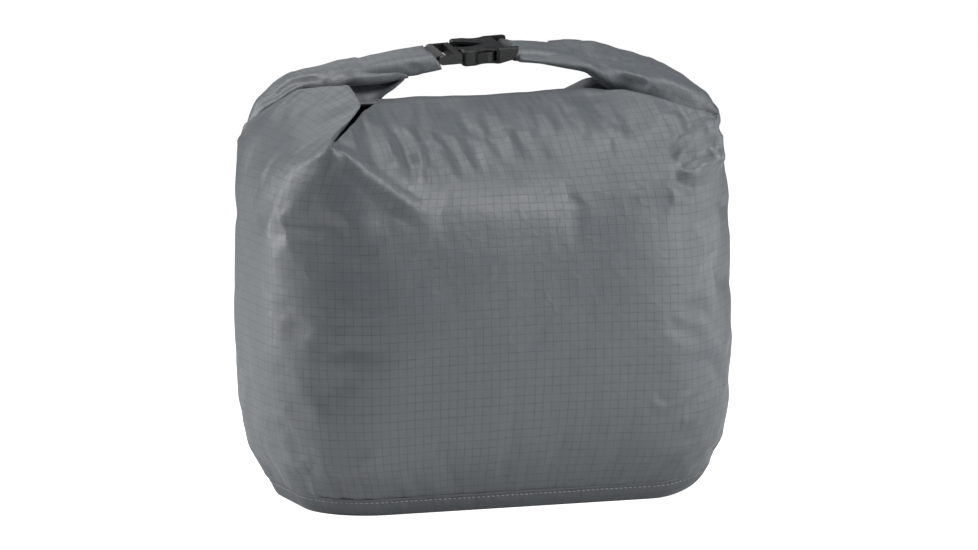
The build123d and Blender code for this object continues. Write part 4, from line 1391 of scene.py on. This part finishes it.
def webbing_loop(name, side, slope, bar):
    """Up from inside the rolled end, round the buckle's bar, and back under itself."""
    slope = math.radians(slope)
    tip = np.array([side * TIP_X, TIP_Z])
    out = np.array([side * math.cos(slope), -math.sin(slope)])
    across = np.array([side * math.sin(slope), math.cos(slope)])
    near_bar, off_bar = bar + side * 1.6, bar + side * 4.2
    turn = np.radians(np.linspace(72, -72, 9))
    path = np.array([
        tip + out * 18 + across * 0.6,
        tip + out * 8 + across * 0.6,
        tip + across * 0.62,
        (off_bar, 1.25),
        (near_bar, TURN - 0.45),
        *[(bar - side * TURN * math.cos(t), TURN * math.sin(t)) for t in turn],
        (near_bar, -(TURN - 0.45)),
        (off_bar, -1.5),
        tip - across * 0.62,
        tip + out * 8 - across * 0.6,
        tip + out * 18 - across * 0.6,
    ])
    fine = even(path, 120)
    ys = np.concatenate([[-10.3, -10.1], np.linspace(-9.5, 9.5, 11), [10.1, 10.3]])
    points = np.array([loop_point(x, ys, z) for x, z in fine])
    uv = np.stack(np.meshgrid(ys, arc_length(fine)), 2)
    ob = sheet_object(f"woven_loop_{name}", points, uv, mat_web)
    solidify(ob, thickness=1.0, offset=0.0)
    return ob


def zigzag_tack(name, side, slope, cuff):
    """Two bar-tacks, laid as close zigzags on the underside of the rolled end."""
    sides = 5
    tree = tree_of(cuff)
    slope = math.radians(slope)
    verts, faces = [], []
    for along in (5.0, 14.0):
        points = []
        z = TIP_Z - along * math.sin(slope)
        for i, y in enumerate(np.arange(-8.4, 8.5, 0.42)):
            for k in (-1.0, 1.0) if i % 2 == 0 else (1.0, -1.0):
                x = side * (TIP_X + along * math.cos(slope)) + side * k * 0.85
                start = Vector(loop_point(x, y, z))
                hit, normal, _, _ = tree.ray_cast(start, Vector(-LOOP_N))
                if hit is None:  # past the edge of the cuff
                    continue
                n = np.array(normal)
                n = n if n @ LOOP_N < 0 else -n
                points.append((np.array(hit) + n * 0.18, n))
        if len(points) < 4:  # too little cloth under this tack to sew it
            continue
        base = len(verts)
        for i, (centre, n) in enumerate(points):
            after, before = points[min(i + 1, len(points) - 1)][0], points[max(i - 1, 0)][0]
            across = unit(np.cross(unit(after - before), n))
            verts += thread_ring(centre, n, across, 0.26, sides)
        faces += [[base + i for i in face] for face in ring_faces(len(points), sides)[0]]
    return new_object(f"tack_thread_{name}", verts, faces, None, mat_thread_black)


web_left, web_right = [webbing_loop(*loop_side) for loop_side in LOOP_SIDES]
tack_left, tack_right = [
    zigzag_tack(*loop_side[:3], cuff)
    for loop_side, cuff in zip(LOOP_SIDES, (cuff_left, cuff_right))
]

# ---------------------------------------------------------------- thickness, bodies and hidden parts
for ob in (body, sleeve_left, sleeve_right, lower_left, lower_right, cuff_left, cuff_right):
    solidify(ob, thickness=SKIN, offset=-1.0)

# Each: object, body it rides on, slot, nodes it replaces
RIDERS = (
    (body, "sack", "ripstop", "sack_body", "side_flap_left", "side_flap_right"),
    (roll, "sack", "ripstop", "roll_center"),
    (cuff_left, "left_arm", "ripstop"),
    (cuff_right, "right_arm", "ripstop"),
    (binding, "sack", "ripstop_base", "base_binding"),
    (base_cloth, "sack", "ripstop_base", "base_panel"),
    (base_thread, "sack", "thread", "base_seam_thread"),
    (felled, "sack", "ripstop", "back_seam"),
    (back_thread, "sack", "thread", "back_seam_thread"),
    (base_tape, "sack", "seam_tape", "base_seam_tape"),
    (back_tape, "sack", "seam_tape", "back_seam_tape"),
    (web_left, "left_arm", "webbing", "webbing_left"),
    (web_right, "right_arm", "webbing", "webbing_right"),
    (tack_left, "left_arm", "thread_black", "bartack_left"),
    (tack_right, "right_arm", "thread_black", "bartack_right"),
)
for ob, carrier, slot, *nodes in RIDERS:
    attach(ob, carrier)
    if nodes:
        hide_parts(*nodes)

# Pieces that run from the sack to an arm; they are baked in place and ride on no body. Each: object,
# arm, slot, node it replaces
BENDERS = (
    (sleeve_left, "left_arm", "ripstop", "roll_left"),
    (sleeve_right, "right_arm", "ripstop", "roll_right"),
    (lower_left, "left_arm", "ripstop", "roll_bend_left"),
    (lower_right, "right_arm", "ripstop", "roll_bend_right"),
    (strip_left, "left_arm", "stiffener", "stiffener_left"),
    (strip_right, "right_arm", "stiffener", "stiffener_right"),
)
for ob, arm, slot, node in BENDERS:
    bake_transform(ob)
    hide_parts(node)

CAD_MATERIALS = {
    **dict.fromkeys(
        ("buckle_socket", "buckle_plug", "plug_prong_front", "plug_prong_rear"), mat_plastic
    ),
    **dict.fromkeys(("stiffener_center", "stiffener_left", "stiffener_right"), mat_strip),
    **dict.fromkeys(("base_seam_tape", "back_seam_tape"), mat_film),
}
for name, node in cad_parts.items():
    node.data.materials.clear()
    node.data.materials.append(CAD_MATERIALS.get(name, mat_cloth))


# ---------------------------------------------------------------- stage, light and camera (metres)
def seen_by_camera(tree, seen, other):
    """seen for rays straight from the camera, other for the light that bounces."""
    path = tree.nodes.new("ShaderNodeLightPath")
    choice = tree.nodes.new("ShaderNodeMapRange")
    tree.links.new(path.outputs["Is Camera Ray"], choice.inputs[0])
    choice.inputs[3].default_value = other
    choice.inputs[4].default_value = seen
    return choice.outputs[0]


def make_floor():
    m = Nodes("floor_paper")
    m.surface(
        Base_Color=(0.90, 0.90, 0.90),
        Roughness=0.9,
        Specular_IOR_Level=0.1,
        Emission_Color=(1.0, 1.0, 1.0),
        Emission_Strength=seen_by_camera(m.tree, seen=0.97, other=0.0),
    )
    corners = [(-9000, -6000, 0), (9000, -6000, 0), (9000, 14000, 0), (-9000, 14000, 0)]
    new_object("floor", corners, [(0, 1, 2, 3)], None, m.mat)


def make_world():
    world = bpy.data.worlds.new("studio")
    scene.world = world
    world.use_nodes = True
    tree = world.node_tree
    background = tree.nodes["Background"]
    background.inputs[0].default_value = (1.0, 1.0, 1.0, 1.0)
    tree.links.new(seen_by_camera(tree, seen=1.0, other=0.015), background.inputs[1])


# Each: name, place, point it faces, width and height, watts
SOFTBOXES = (
    ("near_right", (0.62, -0.66, 0.26), (0.03, 0, 0.12), (0.35, 0.5), 1.9),
    ("front_right_high", (0.75, -0.95, 1.05), (0, 0, 0.15), (0.4, 0.3), 5.8),
    ("side_right", (1.40, -0.15, 0.25), (0, 0, 0.13), (0.5, 0.9), 4.8),
    ("side_left_high", (-1.20, 0.10, 0.95), (0, 0, 0.13), (0.6, 0.8), 8.3),
    ("back_left", (-1.30, 0.90, 0.30), (0, 0, 0.13), (0.6, 1.0), 10.2),
    ("over", (0.0, -0.05, 1.50), (0, 0, 0.2), (0.8, 0.6), 5.6),
    ("over_front", (0.15, -0.75, 1.30), (0, 0, 0.2), (0.8, 0.4), 3.1),
    ("over_back", (-0.2, 0.9, 1.1), (0, 0, 0.2), (1.0, 0.6), 2.6),
)


def softbox(name, place, target, size, power):
    data = bpy.data.lights.new(name, "AREA")
    data.shape = "RECTANGLE"
    data.size, data.size_y = size
    data.energy = power
    ob = bpy.data.objects.new(name, data)
    scene.collection.objects.link(ob)
    ob.location = place
    ob.rotation_euler = (Vector(target) - Vector(place)).to_track_quat("-Z", "Y").to_euler()


def make_camera():
    """Looks at the sack from the front, a little to the left and above."""
    turn, drop = math.radians(20.0), math.radians(7.5)
    distance, target_z, shift_right = 3.2, 0.127, 0.00435
    right = np.array([math.cos(turn), -math.sin(turn), 0.0])
    level_ahead = np.array([math.sin(turn), math.cos(turn), 0.0])
    ahead = level_ahead * math.cos(drop) - [0, 0, math.sin(drop)]
    up = level_ahead * math.sin(drop) + [0, 0, math.cos(drop)]
    data = bpy.data.cameras.new("camera")
    data.lens = 203.0
    data.sensor_width = 36.0
    data.clip_start, data.clip_end = 0.05, 60.0
    camera = bpy.data.objects.new("camera", data)
    scene.collection.objects.link(camera)
    place = np.eye(4)
    place[:3, 0], place[:3, 1], place[:3, 2] = right, up, -ahead
    place[:3, 3] = right * shift_right + np.array([0, 0, target_z]) - ahead * distance
    camera.matrix_world = Matrix(place.tolist())
    scene.camera = camera


make_floor()
make_world()
for box in SOFTBOXES:
    softbox(*box)
scene.view_settings.view_transform = "Standard"
make_camera()
